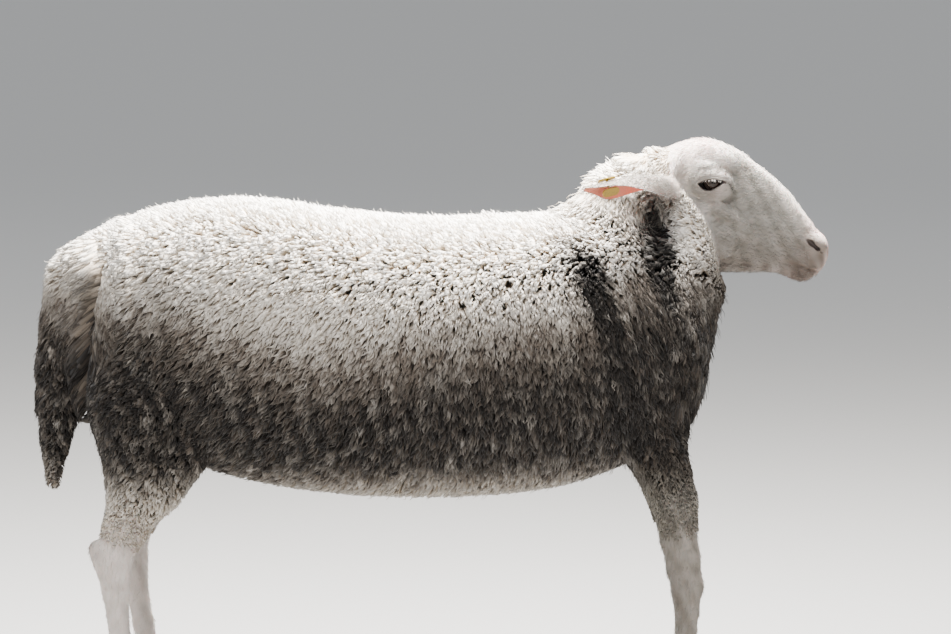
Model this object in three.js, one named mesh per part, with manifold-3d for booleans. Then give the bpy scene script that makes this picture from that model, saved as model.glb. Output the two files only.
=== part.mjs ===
// A polled, long-tailed lowland ewe in half-grown fleece, standing square and looking ahead.
//
// Millimetres, +Z up, +X towards the muzzle, +Y towards the animal's left.  The origin lies on
// the ground, below the middle of the animal's length.
//
// Every form of flesh is first a field, a function of (x, y, z) that is negative inside the
// form, and the fields are blended where forms run into each other.  A mesh is then wrapped
// round a field: in a row of planes along the form, rays walk in until they meet it.

import * as THREE from "three";
import { mergeVertices } from "three/addons/utils/BufferGeometryUtils.js";
import Module from "manifold-3d";

const wasm = await Module();
wasm.setup();

// ---------------------------------------------------------------- driving dimensions

// Between two neighbouring solids.
const GAP = 0.3;

// Trunk in its fleece: [x, back, belly, half width], from the tail head to the breast.
const TRUNK_STATIONS = [
  [-440, 760, 452, 145],
  [-400, 772, 432, 165],
  [-350, 782, 412, 178],
  [-290, 788, 392, 188],
  [-220, 784, 376, 198],
  [-150, 773, 366, 208],
  [-75, 764, 360, 214],
  [0, 759, 358, 216],
  [75, 760, 360, 213],
  [150, 763, 367, 203],
  [210, 765, 380, 190],
  [260, 757, 398, 176],
  [310, 735, 420, 160],
];
const TRUNK_SQUARENESS = 2.3;
const RUMP_ROUNDING = 57;
const BREAST_ROUNDING = 76;

// Neck: two rows of [x, y, z, radius], under the crest and along the throat.
const CREST = [
  [235, 0, 660, 96],
  [265, 0, 773, 61],
  [302, 0, 771, 65],
  [330, 0, 780, 60],
  [348, 0, 788, 57],
  [370, 0, 798, 55],
];
const THROAT = [
  [275, 0, 545, 118],
  [300, 0, 600, 102],
  [328, 0, 655, 87],
  [350, 0, 702, 73],
  [365, 0, 740, 62],
];
const NECK_BREADTH = 1.15;

// Tail, down to the wisp at its tip.
const TAIL = [
  [-455, 0, 690, 59],
  [-494, 0, 668, 56],
  [-514, 0, 600, 43],
  [-524, 0, 540, 39],
  [-527, 0, 490, 35],
  [-533, 0, 440, 22],
  [-536, 0, 385, 12],
];
const TAIL_BREADTH = 1.1;

// Right legs, [x, distance from the middle plane, z, radius], from the shoulder or hip down.
const FORELEG = [
  [
    [262, 105, 560, 55],
    [300, 100, 450, 50],
    [333, 96, 360, 33],
    [346, 92, 280, 25],
    [352, 91, 238, 24],
    [352, 90, 205, 18],
    [352, 89, 150, 15.5],
    [351, 88, 88, 20],
    [362, 88, 57, 18],
    [371, 88, 42, 21],
  ],
];
const HINDLEG = [
  [
    [-395, 95, 600, 60],
    [-410, 98, 500, 82],
    [-412, 98, 400, 56],
    [-438, 95, 330, 33],
    [-455, 94, 286, 27],
    [-452, 93, 240, 20],
    [-446, 92, 170, 16.5],
    [-440, 91, 92, 20.5],
    [-428, 91, 58, 18.5],
    [-420, 91, 42, 21],
  ],
  [
    [-345, 100, 470, 52],
    [-398, 98, 385, 42],
  ],
  [
    [-452, 94, 262, 19],
    [-478, 94, 301, 14],
  ],
];
const LEG_BREADTH = 0.88;
// How far the left foot stands ahead of the right one.
const FORE_STRIDE = 25;
const HIND_STRIDE = 55;

// Hoof: two claws on each foot, their soles longer than their tops and set ahead of them.
const CLAW = { length: 62, width: 25, toeHeight: 40, heelHeight: 24 };
const CORONET = { length: 44, width: 22 };
const SOLE_AHEAD = 9;
const CLAW_SPLIT = 3;
// The outer wall of a claw bows out by this power, narrows to the toe and swells half-way up.
const WALL_BOW = 0.75;
const TOE_NARROWING = 0.22;
const INNER_BOW = 1;
const WALL_SWELL = 0.06;
const CLAW_LEVELS = [0, 0.15, 0.5, 1];
// Dewclaws: half lengths along x, y and z, before they tilt back.
const DEWCLAW = { size: [7, 6, 10], height: 78, spread: 12, sink: 1, tilt: 25 };

// Head, in a frame of its own: t runs down the face, n stands up from it, and y is shared.
const HEAD_AT = new THREE.Vector3(350.7, 0, 808);
const HEAD_PITCH = THREE.MathUtils.degToRad(27.5);
// [t, brow and nose, jaw, half width].
const HEAD_STATIONS = [
  [-45, 24, -32, 48],
  [-20, 49, -42, 56],
  [3, 65, -54, 58],
  [26, 72, -67, 56],
  [46, 74, -77, 52],
  [68, 73, -89, 47],
  [86, 69, -96, 44],
  [105, 66, -96, 41],
  [143, 56, -79, 32],
  [170, 44, -65, 30],
  [193, 33, -56, 29],
  [212, 25, -53, 29],
];
const HEAD_SQUARENESS = 2.25;
const POLL_ROUNDING = 25;
const MUZZLE_ROUNDING = 29;
// Swellings of the right half of the head: [t, y, n, and the half lengths along each].
const HEAD_SWELLINGS = {
  orbit: [42, 50, 15, 30, 14, 25],
  brow: [30, 25, 50, 35, 26, 19],
  cheek: [80, 36, -50, 36, 15, 32],
  nostrilWing: [213, 21, 6, 19, 12, 12],
  upperLip: [214, 14, -18, 23, 18, 15],
  chin: [203, 0, -42, 27, 21, 13],
};
const CHEEKBONE = [
  [60, 50, -10, 12],
  [120, 33, -22, 8],
];
const EYE = { t: 37, y: 47, n: 16.5, radius: 14.5 };
const EYE_OPENING = { y: 66, halfLength: 17, depth: 10, halfHeight: 7.5, slant: 31 };
const NOSTRIL = { t: 216, y: 30, n: 1, halfLength: 11, depth: 9, halfHeight: 3, slant: 8 };
const MOUTH = { t: 209, n: -32, length: 56, slant: 10, height: 1.4, depth: 6 };

// Ears: the midline of each as if on the right, half widths and depths of the cup along it.
// The right one is laid back, and the left one is held out to the side.
const EAR_LINES = {
  right: [
    [336, -46, 788],
    [318, -74, 792],
    [290, -101, 793.5],
    [254, -125, 798],
    [200, -142, 803.5],
  ],
  left: [
    [336, -46, 787],
    [320, -76, 795],
    [300, -108, 796],
    [276, -141, 789],
    [248, -172, 778],
  ],
};
const EAR_HALF_WIDTHS = [15, 20, 24, 25, 22, 12];
const EAR_CUPS = [16, 24, 27, 24, 14, 3];
const EAR_THICKNESS = 3.6;
const EAR_PLACES = [0, 0.08, 0.17, 0.27, 0.38, 0.49, 0.6, 0.7, 0.79, 0.87, 0.94, 0.98];
const EAR_TIP = 4;
// The back of the ear faces this way at its root, and this way at its tip.
const EAR_BACK_AT_ROOT = new THREE.Vector3(-0.1, -0.5, 0.85);
const EAR_BACK_AT_TIP = new THREE.Vector3(0, 0.6, 0.8);

// Ear tag: a plate on each face of the right ear, joined by a stem.
const TAG = { along: 0.77, length: 27, width: 13, thickness: 1.8, stem: 2.2, hole: 2.7 };
const TAG_LIFT = 1.4;
const TAG_DROP = 12;
// The plate in the hollow is turned about its length, to face out of it.
const TAG_TURN = 45;
// The plates lie along the slope of the ear's back.
const TAG_TILT = 16;
const TAG_REACH = 30;

// Planes that part neck from trunk and head from neck: a point and a tilt back from upright.
const NECK_ROOT = { x: 272, z: 638, tilt: 33.7 };
const NECK_TOP = { x: 335, z: 752, tilt: 26.3 };

// Widths over which creases are filled.
const SHOULDER_BLEND = 30;
const HEAD_BLEND = 12;
const FEATURE_BLEND = 10;
const JOINT_BLEND = 8;

// Mesh fineness: sides of each ring, and steps round and up each small ball.
const BODY_SIDES = 30;
const HEAD_SIDES = 26;
const LEG_SIDES = 12;
const TAIL_SIDES = 12;
const CLAW_SIDES = 10;
const EAR_SIDES = 6;
const TAG_SIDES = 10;
const EYE_STEPS = [14, 8];
const DEWCLAW_STEPS = [7, 5];

// Rays start this far out, walk in by this much, and halve their last step this often.
const RAY_REACH = 330;
const HEAD_RAY_REACH = 127;
const RAY_STEP = 6;
const RAY_HALVINGS = 14;
// Side of the box that stands for half of space.
const HALF_SPACE = 2000;
// Points nearer than this are one.
const WELD = 1e-4;

// ---------------------------------------------------------------- finishes

const WOOL = { color: 0xd9cdbb, roughness: 1.0, metalness: 0 };
const HAIR = { color: 0xe6dacd, roughness: 0.85, metalness: 0 };
const EYEBALL = { color: 0x2b2018, roughness: 0.15, metalness: 0 };
const HORN = { color: 0x6f6250, roughness: 0.55, metalness: 0 };
const TAG_PLASTIC = { color: 0xe3b62a, roughness: 0.4, metalness: 0 };

// ---------------------------------------------------------------- fields

const { lerp, clamp, degToRad, radToDeg } = THREE.MathUtils;

// The union of two fields, its crease filled over a given width.
function blend(a, b, width) {
  const overlap = Math.max(width - Math.abs(a - b), 0) / width;
  return Math.min(a, b) - (overlap * overlap * width) / 4;
}

// A smooth curve through the rows' first column and the given one, level at both ends.
function curveThrough(rows, column) {
  const xs = rows.map((row) => row[0]);
  const ys = rows.map((row) => row[column]);
  const last = rows.length - 1;
  const slopes = ys.map((_, i) =>
    i === 0 || i === last ? 0 : (ys[i + 1] - ys[i - 1]) / (xs[i + 1] - xs[i - 1]),
  );
  return (x) => {
    const inside = clamp(x, xs[0], xs[last]);
    const i = Math.min(xs.findLastIndex((at) => at <= inside), last - 1);
    const step = xs[i + 1] - xs[i];
    const u = (inside - xs[i]) / step;
    const rise = u * u * (3 - 2 * u);
    const leave = u * (1 - u) * (1 - u);
    const arrive = u * u * (u - 1);
    return lerp(ys[i], ys[i + 1], rise) + step * (slopes[i] * leave + slopes[i + 1] * arrive);
  };
}

// Keeps square roots and divisions off nought.
const TINY = 1e-6;

// A barrel along x with superelliptic sections, rounded off at both ends as an ellipse is.
function barrel(stations, squareness, backRounding, frontRounding) {
  const top = curveThrough(stations, 1);
  const bottom = curveThrough(stations, 2);
  const halfWidth = curveThrough(stations, 3);
  const back = stations[0][0];
  const front = stations.at(-1)[0];
  return (x, y, z) => {
    const past = Math.max((back - x) / backRounding, (x - front) / frontRounding, 0);
    const beyond = Math.max(past - 1, 0) * (x < back ? backRounding : frontRounding);
    const shrink = Math.sqrt(Math.max(1 - past * past, TINY));
    const middle = (top(x) + bottom(x)) / 2;
    const halfHeight = ((top(x) - bottom(x)) / 2) * shrink;
    const across = Math.abs(y) / (halfWidth(x) * shrink);
    const up = Math.abs(z - middle) / halfHeight;
    const gauge = (across ** squareness + up ** squareness) ** (1 / squareness);
    if (gauge < TINY) return -halfHeight;
    const radial = Math.hypot(y, z - middle) * (1 - 1 / gauge);
    return Math.hypot(radial, beyond) * Math.sign(radial + beyond);
  };
}

// A limb of tapered lengths between joints [x, y, z, radius], stretched across the animal.
function limb(joints, breadth, blending = JOINT_BLEND) {
  const lengths = joints.slice(1).map((end, i) => {
    const start = joints[i];
    const run = [end[0] - start[0], (end[1] - start[1]) / breadth, end[2] - start[2]];
    const square = run[0] ** 2 + run[1] ** 2 + run[2] ** 2;
    return { start, run, square, taper: end[3] - start[3] };
  });
  return (x, y, z) => {
    let distance = Infinity;
    for (const { start, run, square, taper } of lengths) {
      const from = [x - start[0], (y - start[1]) / breadth, z - start[2]];
      const along = (from[0] * run[0] + from[1] * run[1] + from[2] * run[2]) / square;
      const h = clamp(along, 0, 1);
      const off = Math.hypot(from[0] - h * run[0], from[1] - h * run[1], from[2] - h * run[2]);
      distance = Math.min(distance, blend(distance, off - start[3] - h * taper, blending));
    }
    return distance;
  };
}

// An ellipsoid from its middle and its half lengths.
function swelling([x, y, z, rx, ry, rz]) {
  return (px, py, pz) => {
    const [u, v, w] = [(px - x) / rx, (py - y) / ry, (pz - z) / rz];
    const scaled = Math.hypot(u, v, w);
    const steepness = Math.hypot(u / rx, v / ry, w / rz);
    return steepness < TINY ? -Math.min(rx, ry, rz) : (scaled * (scaled - 1)) / steepness;
  };
}

// How far a point lies beyond a tilted plane, on the side towards the muzzle.
function aheadOf(plane) {
  const cos = Math.cos(degToRad(plane.tilt));
  const sin = Math.sin(degToRad(plane.tilt));
  return (x, y, z) => (x - plane.x) * cos + (z - plane.z) * sin;
}

const trunkField = barrel(TRUNK_STATIONS, TRUNK_SQUARENESS, RUMP_ROUNDING, BREAST_ROUNDING);
const crestField = limb(CREST, NECK_BREADTH);
const throatField = limb(THROAT, NECK_BREADTH);

// Trunk and neck as one.
function bodyField(x, y, z) {
  const neck = blend(crestField(x, y, z), throatField(x, y, z), SHOULDER_BLEND);
  return blend(trunkField(x, y, z), neck, SHOULDER_BLEND);
}

// The head in its own frame, where x is t and z is n.
const skullField = barrel(HEAD_STATIONS, HEAD_SQUARENESS, POLL_ROUNDING, MUZZLE_ROUNDING);
const cheekboneField = limb(CHEEKBONE, 1);
const swellingFields = Object.values(HEAD_SWELLINGS).map(swelling);

function headField(t, y, n) {
  const side = Math.abs(y);
  let distance = blend(skullField(t, side, n), cheekboneField(t, side, n), FEATURE_BLEND);
  for (const field of swellingFields) {
    distance = blend(distance, field(t, side, n), FEATURE_BLEND);
  }
  return distance;
}

const headMatrix = new THREE.Matrix4()
  .makeRotationY(HEAD_PITCH)
  .setPosition(HEAD_AT);

// From the head's frame to the animal's.
const fromHead = (t, y, n) => new THREE.Vector3(t, y, n).applyMatrix4(headMatrix);

// Trunk, neck and head as one.
function fleshField(x, y, z) {
  const [dx, dz] = [x - HEAD_AT.x, z - HEAD_AT.z];
  const t = dx * Math.cos(HEAD_PITCH) - dz * Math.sin(HEAD_PITCH);
  const n = dx * Math.sin(HEAD_PITCH) + dz * Math.cos(HEAD_PITCH);
  return blend(bodyField(x, y, z), headField(t, y, n), HEAD_BLEND);
}

// ---------------------------------------------------------------- meshes from fields

// One closed surface from rings of points and a point at each end.
function lidded(rings, first, last) {
  const sides = rings[0].length;
  const points = [...rings.flat(), first, last];
  const index = [];
  for (let ring = 0; ring < rings.length - 1; ring++) {
    for (let k = 0; k < sides; k++) {
      const a = ring * sides + k;
      const b = ring * sides + ((k + 1) % sides);
      index.push(a, b, b + sides, a, b + sides, a + sides);
    }
  }
  const end = (rings.length - 1) * sides;
  for (let k = 0; k < sides; k++) {
    const next = (k + 1) % sides;
    index.push(points.length - 2, next, k, points.length - 1, end + k, end + next);
  }
  const geometry = new THREE.BufferGeometry().setFromPoints(points);
  geometry.setIndex(index);
  return geometry;
}

// The outermost point of a field on a ray.
function edge(field, from, direction, reach = RAY_REACH) {
  const inside = (r) =>
    field(from.x + r * direction.x, from.y + r * direction.y, from.z + r * direction.z) < 0;
  let near = reach;
  while (near > 0 && !inside(near)) near -= RAY_STEP;
  if (near <= 0 && !inside(0)) throw new Error("a ray starts outside its form");
  near = Math.max(near, 0);
  let far = near + RAY_STEP;
  for (let i = 0; i < RAY_HALVINGS; i++) {
    const middle = (near + far) / 2;
    if (inside(middle)) near = middle;
    else far = middle;
  }
  return from.clone().addScaledVector(direction, near);
}

// A mesh wrapped round a field.  Each plane has a centre, the way along and a way across.
function wrap(field, planes, sides) {
  const rings = planes.map(({ centre, along, across, reach }) => {
    const up = along.clone().cross(across);
    return Array.from({ length: sides }, (_, k) => {
      const angle = (2 * Math.PI * (k + 0.5)) / sides;
      const ray = across.clone().multiplyScalar(Math.cos(angle));
      return edge(field, centre, ray.addScaledVector(up, Math.sin(angle)), reach);
    });
  });
  const [start, finish] = [planes[0], planes.at(-1)];
  const first = edge(field, start.centre, start.along.clone().negate());
  const last = edge(field, finish.centre, finish.along);
  return lidded(rings, first, last);
}

// A mesh round the same field grown by the gap, to cut a neighbour with.
const wrapGrown = (field, planes, sides) =>
  wrap((x, y, z) => field(x, y, z) - GAP, planes, sides);

// A solid for cutting and joining, from a closed geometry.
function solid(geometry) {
  const bare = geometry.clone();
  bare.deleteAttribute("normal");
  bare.deleteAttribute("uv");
  const merged = mergeVertices(bare, WELD);
  const vertProperties = new Float32Array(merged.getAttribute("position").array);
  const triVerts = new Uint32Array(merged.index.array);
  return new wasm.Manifold(new wasm.Mesh({ numProp: 3, vertProperties, triVerts }));
}

// The same, moved by a matrix first.
function placed(geometry, matrix) {
  return solid(geometry.clone().applyMatrix4(matrix));
}

// The main body of a solid that a cut has left in several.
const largest = (manifold) =>
  manifold.decompose().reduce((best, next) => (next.volume() > best.volume() ? next : best));

function geometryOf(manifold) {
  const { vertProperties, triVerts } = manifold.getMesh();
  const geometry = new THREE.BufferGeometry();
  geometry.setAttribute("position", new THREE.BufferAttribute(vertProperties, 3));
  geometry.setIndex(new THREE.BufferAttribute(triVerts, 1));
  return geometry;
}

const ewe = new THREE.Group();

// Puts a finished solid into the ewe under its name.
function add(name, manifold, finish) {
  const geometry = geometryOf(manifold);
  geometry.computeVertexNormals();
  const mesh = new THREE.Mesh(geometry, new THREE.MeshStandardMaterial(finish));
  mesh.name = name;
  ewe.add(mesh);
}

// A box that holds everything ahead of a tilted plane, or everything behind it.
function halfSpace(plane, ahead, clearance) {
  const size = HALF_SPACE;
  const shift = (ahead ? 1 : -1) * (size / 2 + clearance);
  const matrix = new THREE.Matrix4()
    .makeRotationY(-degToRad(plane.tilt))
    .setPosition(plane.x, 0, plane.z)
    .multiply(new THREE.Matrix4().makeTranslation(shift, 0, 0));
  return placed(new THREE.BoxGeometry(size, size, size), matrix);
}

// ---------------------------------------------------------------- trunk and neck

const ACROSS = new THREE.Vector3(0, 1, 0);
// The neck's mesh runs on this far past the plane that trims it.
const OVERRUN = 5;

// A plane of the body from its middle and its tilt back from upright.
function bodyPlane([x, z, tilt]) {
  const angle = degToRad(tilt);
  const along = new THREE.Vector3(Math.cos(angle), 0, Math.sin(angle));
  return { centre: new THREE.Vector3(x, 0, z), along, across: ACROSS };
}

// The middle of each plane and its tilt: upright along the trunk, fanning up into the neck.
const BODY_PLANES = [
  ...[-494, -486, -472, -452, -425, -390, -350, -305, -255, -200, -145].map((x) => [x, 603, 0]),
  ...[-90, -35, 20, 75].map((x) => [x, 560, 0]),
  [130, 575, 4],
  [165, 585, 10],
  [200, 597, 18],
  [235, 615, 26],
  [258, 627, 31],
  [272, 638, 33.7],
  [287, 660, 32.5],
  [304, 692, 30],
  [320, 724, 28],
  [335, 752, 26.3],
  [338, 753.5, 26.3],
].map(bodyPlane);

const aheadOfNeck = aheadOf(NECK_TOP);
const bodyToNeckTop = (x, y, z) => Math.max(fleshField(x, y, z), aheadOfNeck(x, y, z) - OVERRUN);
const body = solid(wrap(bodyToNeckTop, BODY_PLANES, BODY_SIDES));
const bodyGrown = solid(wrapGrown(bodyToNeckTop, BODY_PLANES, BODY_SIDES));

const trunk = body.intersect(halfSpace(NECK_ROOT, false, GAP / 2));
const neck = body
  .intersect(halfSpace(NECK_ROOT, true, GAP / 2))
  .intersect(halfSpace(NECK_TOP, false, GAP / 2));
add("trunk", trunk, WOOL);
add("neck", neck, WOOL);

// ---------------------------------------------------------------- head

// The head's planes swing about a point below the throat, then follow each other down the face.
const THROAT_PIVOT = { x: 388.5, z: 641, radius: 125 };
const SWING = { from: 27.5, to: -23, planes: 13 };
const FACE_PLACES = [111, 124, 139, 154, 169, 183, 194, 204, 213, 221, 228, 234, 238];
const FACE_AXIS = curveThrough([[100, -4], [212, -14], [240, -14]], 1);

// One of the planes that swing round from the poll to the cheek.
function swungPlane(_, i) {
  const angle = degToRad(lerp(SWING.from, SWING.to, i / (SWING.planes - 1)));
  const { x, z, radius } = THROAT_PIVOT;
  const centre = new THREE.Vector3(x - radius * Math.sin(angle), 0, z + radius * Math.cos(angle));
  const along = new THREE.Vector3(Math.cos(angle), 0, Math.sin(angle));
  return { centre, along, across: ACROSS, reach: HEAD_RAY_REACH };
}

const faceAlong = fromHead(1, 0, 0).sub(HEAD_AT);
const headPlanes = [
  ...Array.from({ length: SWING.planes }, swungPlane),
  ...FACE_PLACES.map((t) => {
    const centre = fromHead(t, 0, FACE_AXIS(t));
    return { centre, along: faceAlong, across: ACROSS, reach: HEAD_RAY_REACH };
  }),
];
const headFromNeckTop = (x, y, z) =>
  Math.max(fleshField(x, y, z), -aheadOfNeck(x, y, z) - OVERRUN);
const headGrown = solid(wrapGrown(headFromNeckTop, headPlanes, HEAD_SIDES));

// An ellipsoid in the head's frame, slanted up towards the muzzle, on the side given.
function headEllipsoid({ t, y, n, slant = 0 }, radii, side) {
  const matrix = headMatrix
    .clone()
    .multiply(new THREE.Matrix4().makeTranslation(t, side * y, n))
    .multiply(new THREE.Matrix4().makeRotationY(-degToRad(slant)))
    .scale(new THREE.Vector3(...radii));
  return placed(new THREE.SphereGeometry(1, ...EYE_STEPS), matrix);
}

// The globe of an eye, or the socket for it.
const eyeball = (side, radius) => headEllipsoid(EYE, [radius, radius, radius], side);

// The space between the lids.
function eyeOpening(side) {
  const { y, halfLength, depth, halfHeight, slant } = EYE_OPENING;
  return headEllipsoid({ ...EYE, y, slant }, [halfLength, depth, halfHeight], side);
}

// The space of a nostril.
function nostril(side) {
  const { halfLength, depth, halfHeight } = NOSTRIL;
  return headEllipsoid(NOSTRIL, [halfLength, depth, halfHeight], side);
}

// The line between the lips: a thin slab, less the head's own form shrunk by the line's depth.
function mouthLine() {
  const shrunk = (x, y, z) => headFromNeckTop(x, y, z) + MOUTH.depth;
  const heart = solid(wrap(shrunk, headPlanes.slice(2, -3), HEAD_SIDES));
  const matrix = headMatrix
    .clone()
    .multiply(new THREE.Matrix4().makeTranslation(MOUTH.t, 0, MOUTH.n))
    .multiply(new THREE.Matrix4().makeRotationY(-degToRad(MOUTH.slant)));
  const slab = new THREE.BoxGeometry(MOUTH.length, MOUTH.length * 2, MOUTH.height);
  return placed(slab, matrix).subtract(heart);
}

let head = solid(wrap(headFromNeckTop, headPlanes, HEAD_SIDES));
head = head.intersect(halfSpace(NECK_TOP, true, GAP / 2)).subtract(mouthLine());
for (const side of [-1, 1]) {
  head = head
    .subtract(eyeball(side, EYE.radius + GAP))
    .subtract(eyeOpening(side))
    .subtract(nostril(side));
}
add("head", head, HAIR);
add("eye_right", eyeball(-1, EYE.radius), EYEBALL);
add("eye_left", eyeball(1, EYE.radius), EYEBALL);

// ---------------------------------------------------------------- ears and tag

const evenly = (values) => values.map((value, i) => [i / (values.length - 1), value]);
const earHalfWidth = curveThrough(evenly(EAR_HALF_WIDTHS), 1);
const earCup = curveThrough(evenly(EAR_CUPS), 1);

// Axes of an ear at a fraction of its length: along it, out of its back, and across it.
function earAxes(midline, s) {
  const along = midline.getTangentAt(s);
  const back = EAR_BACK_AT_ROOT.clone().lerp(EAR_BACK_AT_TIP, s);
  back.addScaledVector(along, -back.dot(along)).normalize();
  return { centre: midline.getPointAt(s), along, back, across: along.clone().cross(back) };
}

// A crescent section: u runs across it from rim to rim, on its back and then in its cup.
function earRing({ centre, back, across }, s) {
  const point = (u, hollow) => {
    const arch = earCup(s) * (1 - u * u);
    const wall = hollow ? EAR_THICKNESS * Math.sqrt(Math.max(1 - u * u, 0)) : 0;
    return centre
      .clone()
      .addScaledVector(across, u * earHalfWidth(s))
      .addScaledVector(back, arch - wall);
  };
  const toStep = (_, k) => -Math.cos((Math.PI * k) / EAR_SIDES);
  const steps = Array.from({ length: EAR_SIDES + 1 }, toStep);
  const outside = steps.map((u) => point(u, false));
  const inside = steps.slice(1, -1).reverse().map((u) => point(u, true));
  return [...outside, ...inside];
}

// The mean of some points.
const middle = (points) =>
  points.reduce((sum, p) => sum.addScaledVector(p, 1 / points.length), new THREE.Vector3());

// An ear on a midline: its rings from root to tip, closed at both.
function earOn(line) {
  const midline = new THREE.CatmullRomCurve3(line.map((p) => new THREE.Vector3(...p)));
  const rings = EAR_PLACES.map((s) => earRing(earAxes(midline, s), s));
  const tip = midline.getPointAt(1).addScaledVector(midline.getTangentAt(1), EAR_TIP);
  return { midline, geometry: lidded(rings, middle(rings[0]), tip) };
}

// The same surface with its faces turned the other way.
function flipped(geometry) {
  const turned = geometry.clone();
  const { array } = turned.index;
  for (let i = 0; i < array.length; i += 3) [array[i], array[i + 1]] = [array[i + 1], array[i]];
  return turned;
}

// The same surface on the other side of the animal.
const mirrored = (geometry) => flipped(geometry).scale(1, -1, 1);

const rightEar = earOn(EAR_LINES.right);
const leftEar = earOn(EAR_LINES.left);
const tagAxes = earAxes(rightEar.midline, TAG.along);
const tagMatrix = new THREE.Matrix4()
  .makeBasis(tagAxes.along, tagAxes.across.clone().negate(), tagAxes.back)
  .setPosition(tagAxes.centre)
  .multiply(new THREE.Matrix4().makeRotationY(degToRad(TAG_TILT)));

// A rod through the ear, from one height over its back to another.
function tagRod(radius, from, to) {
  const rod = new THREE.CylinderGeometry(radius, radius, to - from, TAG_SIDES);
  rod.rotateX(Math.PI / 2).translate(0, 0, (from + to) / 2);
  return placed(rod, tagMatrix);
}

// A plate of the tag with rounded ends, its underside at this height over the ear's midline,
// turned about its length by an angle in degrees.
function tagPlate(bottom, turn) {
  const half = TAG.width / 2;
  const outline = new THREE.Shape();
  outline.absarc(half - TAG.length / 2, 0, half, Math.PI / 2, (3 * Math.PI) / 2);
  outline.absarc(TAG.length / 2 - half, 0, half, -Math.PI / 2, Math.PI / 2);
  const options = { depth: TAG.thickness, bevelEnabled: false, curveSegments: TAG_SIDES / 2 };
  const plate = new THREE.ExtrudeGeometry(outline, options);
  plate.translate(0, 0, -TAG.thickness / 2).rotateX(degToRad(turn));
  return placed(plate.translate(0, 0, bottom + TAG.thickness / 2), tagMatrix);
}

const tagTop = earCup(TAG.along) + TAG_LIFT;
const tagBottom = earCup(TAG.along) - EAR_THICKNESS - TAG_DROP - TAG.thickness;

// An ear without the part of it that lies in the head or the neck.
const trimmedEar = (geometry) => largest(solid(geometry).subtract(headGrown).subtract(bodyGrown));
add("ear_right", trimmedEar(rightEar.geometry).subtract(tagRod(TAG.hole, 0, TAG_REACH)), HAIR);
add("ear_left", trimmedEar(mirrored(leftEar.geometry)), HAIR);
// The stem ends where its rim would meet the turned plate.
const turned = degToRad(TAG_TURN);
const plateTop = TAG.thickness / 2 + TAG.thickness / 2 / Math.cos(turned);
const stemEnd = tagBottom + plateTop + TAG.stem * Math.tan(turned) + GAP;
const stem = tagRod(TAG.stem, stemEnd, tagTop + TAG.thickness / 2);
add("ear_tag_top", tagPlate(tagTop, 0).add(stem), TAG_PLASTIC);
add("ear_tag_bottom", tagPlate(tagBottom, TAG_TURN), TAG_PLASTIC);

// ---------------------------------------------------------------- tail

const UP = new THREE.Vector3(0, 0, 1);
const AHEAD = new THREE.Vector3(1, 0, 0);

// Level planes up a limb, each centred where the row of joints passes through it.
function levelPlanes(joints, heights) {
  const rows = joints.map(([x, y, z]) => [z, x, y]).sort((a, b) => a[0] - b[0]);
  const atX = curveThrough(rows, 1);
  const atY = curveThrough(rows, 2);
  return heights.map((z) => {
    return { centre: new THREE.Vector3(atX(z), atY(z), z), along: UP, across: AHEAD };
  });
}

const TAIL_HEIGHTS = [376, 388, 410, 435, 460, 490, 530, 580, 630, 670, 700, 716];
const tail = solid(wrap(limb(TAIL, TAIL_BREADTH), levelPlanes(TAIL, TAIL_HEIGHTS), TAIL_SIDES));
add("tail", tail.subtract(bodyGrown), WOOL);

// ---------------------------------------------------------------- legs and feet

const LEG_HEIGHTS = {
  front: [30, 42, 55, 70, 84, 98, 120, 160, 195, 215, 235, 255, 285, 325, 370, 420, 480, 560],
  hind: [30, 42, 55, 74, 90, 106, 130, 180, 225, 252, 272, 290, 306, 330, 365, 400, 440, 500, 600],
};

// The joints of one leg, on its own side, its foot carried ahead by the stride.
function standing(chains, side, stride) {
  const hipHeight = chains[0][0][2];
  return chains.map((joints) =>
    joints.map(([x, y, z, r]) => [x + stride * (1 - z / hipHeight), side * y, z, r]),
  );
}

// The slope of the coronet, from the toe down to the heel.
const coronetSlope = (CLAW.toeHeight - CLAW.heelHeight) / CORONET.length;
// The height of the coronet this far ahead of its middle.
const coronetHeight = (ahead) => CLAW.heelHeight + coronetSlope * (ahead + CORONET.length / 2);

// A flat plan of one claw: its outer side bowed, its inner side nearly straight.
function clawPlan({ length, width }, k) {
  const angle = (2 * Math.PI * k) / CLAW_SIDES;
  const out = Math.sin(angle);
  const wall = width * Math.abs(out) ** WALL_BOW * (1 - TOE_NARROWING * Math.cos(angle));
  return [(length / 2) * Math.cos(angle), out > 0 ? wall : INNER_BOW * out];
}

// One claw: outer says which way its bowed side faces.
function claw(footX, footY, outer) {
  const ring = (share) =>
    Array.from({ length: CLAW_SIDES }, (_, k) => {
      const [soleX, soleY] = clawPlan(CLAW, k);
      const [topX, topY] = clawPlan(CORONET, k);
      const x = footX + lerp(soleX + SOLE_AHEAD, topX, share);
      const swell = 1 + WALL_SWELL * Math.sin(Math.PI * share);
      const y = CLAW_SPLIT / 2 + lerp(soleY, topY, share) * swell;
      return new THREE.Vector3(x, footY + outer * y, share * (coronetHeight(topX) - GAP));
    });
  const rings = CLAW_LEVELS.map(ring);
  const geometry = lidded(rings, middle(rings[0]), middle(rings.at(-1)));
  return outer > 0 ? solid(geometry) : solid(flipped(geometry));
}

// A dewclaw behind the fetlock, which is a joint [x, y, z, radius].
function dewclaw([x, y, , radius], outer) {
  const { size, height, spread, sink, tilt } = DEWCLAW;
  const matrix = new THREE.Matrix4()
    .makeTranslation(x - radius + sink, y + outer * spread, height)
    .multiply(new THREE.Matrix4().makeRotationY(degToRad(tilt)))
    .scale(new THREE.Vector3(...size));
  return placed(new THREE.SphereGeometry(1, ...DEWCLAW_STEPS), matrix);
}

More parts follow.
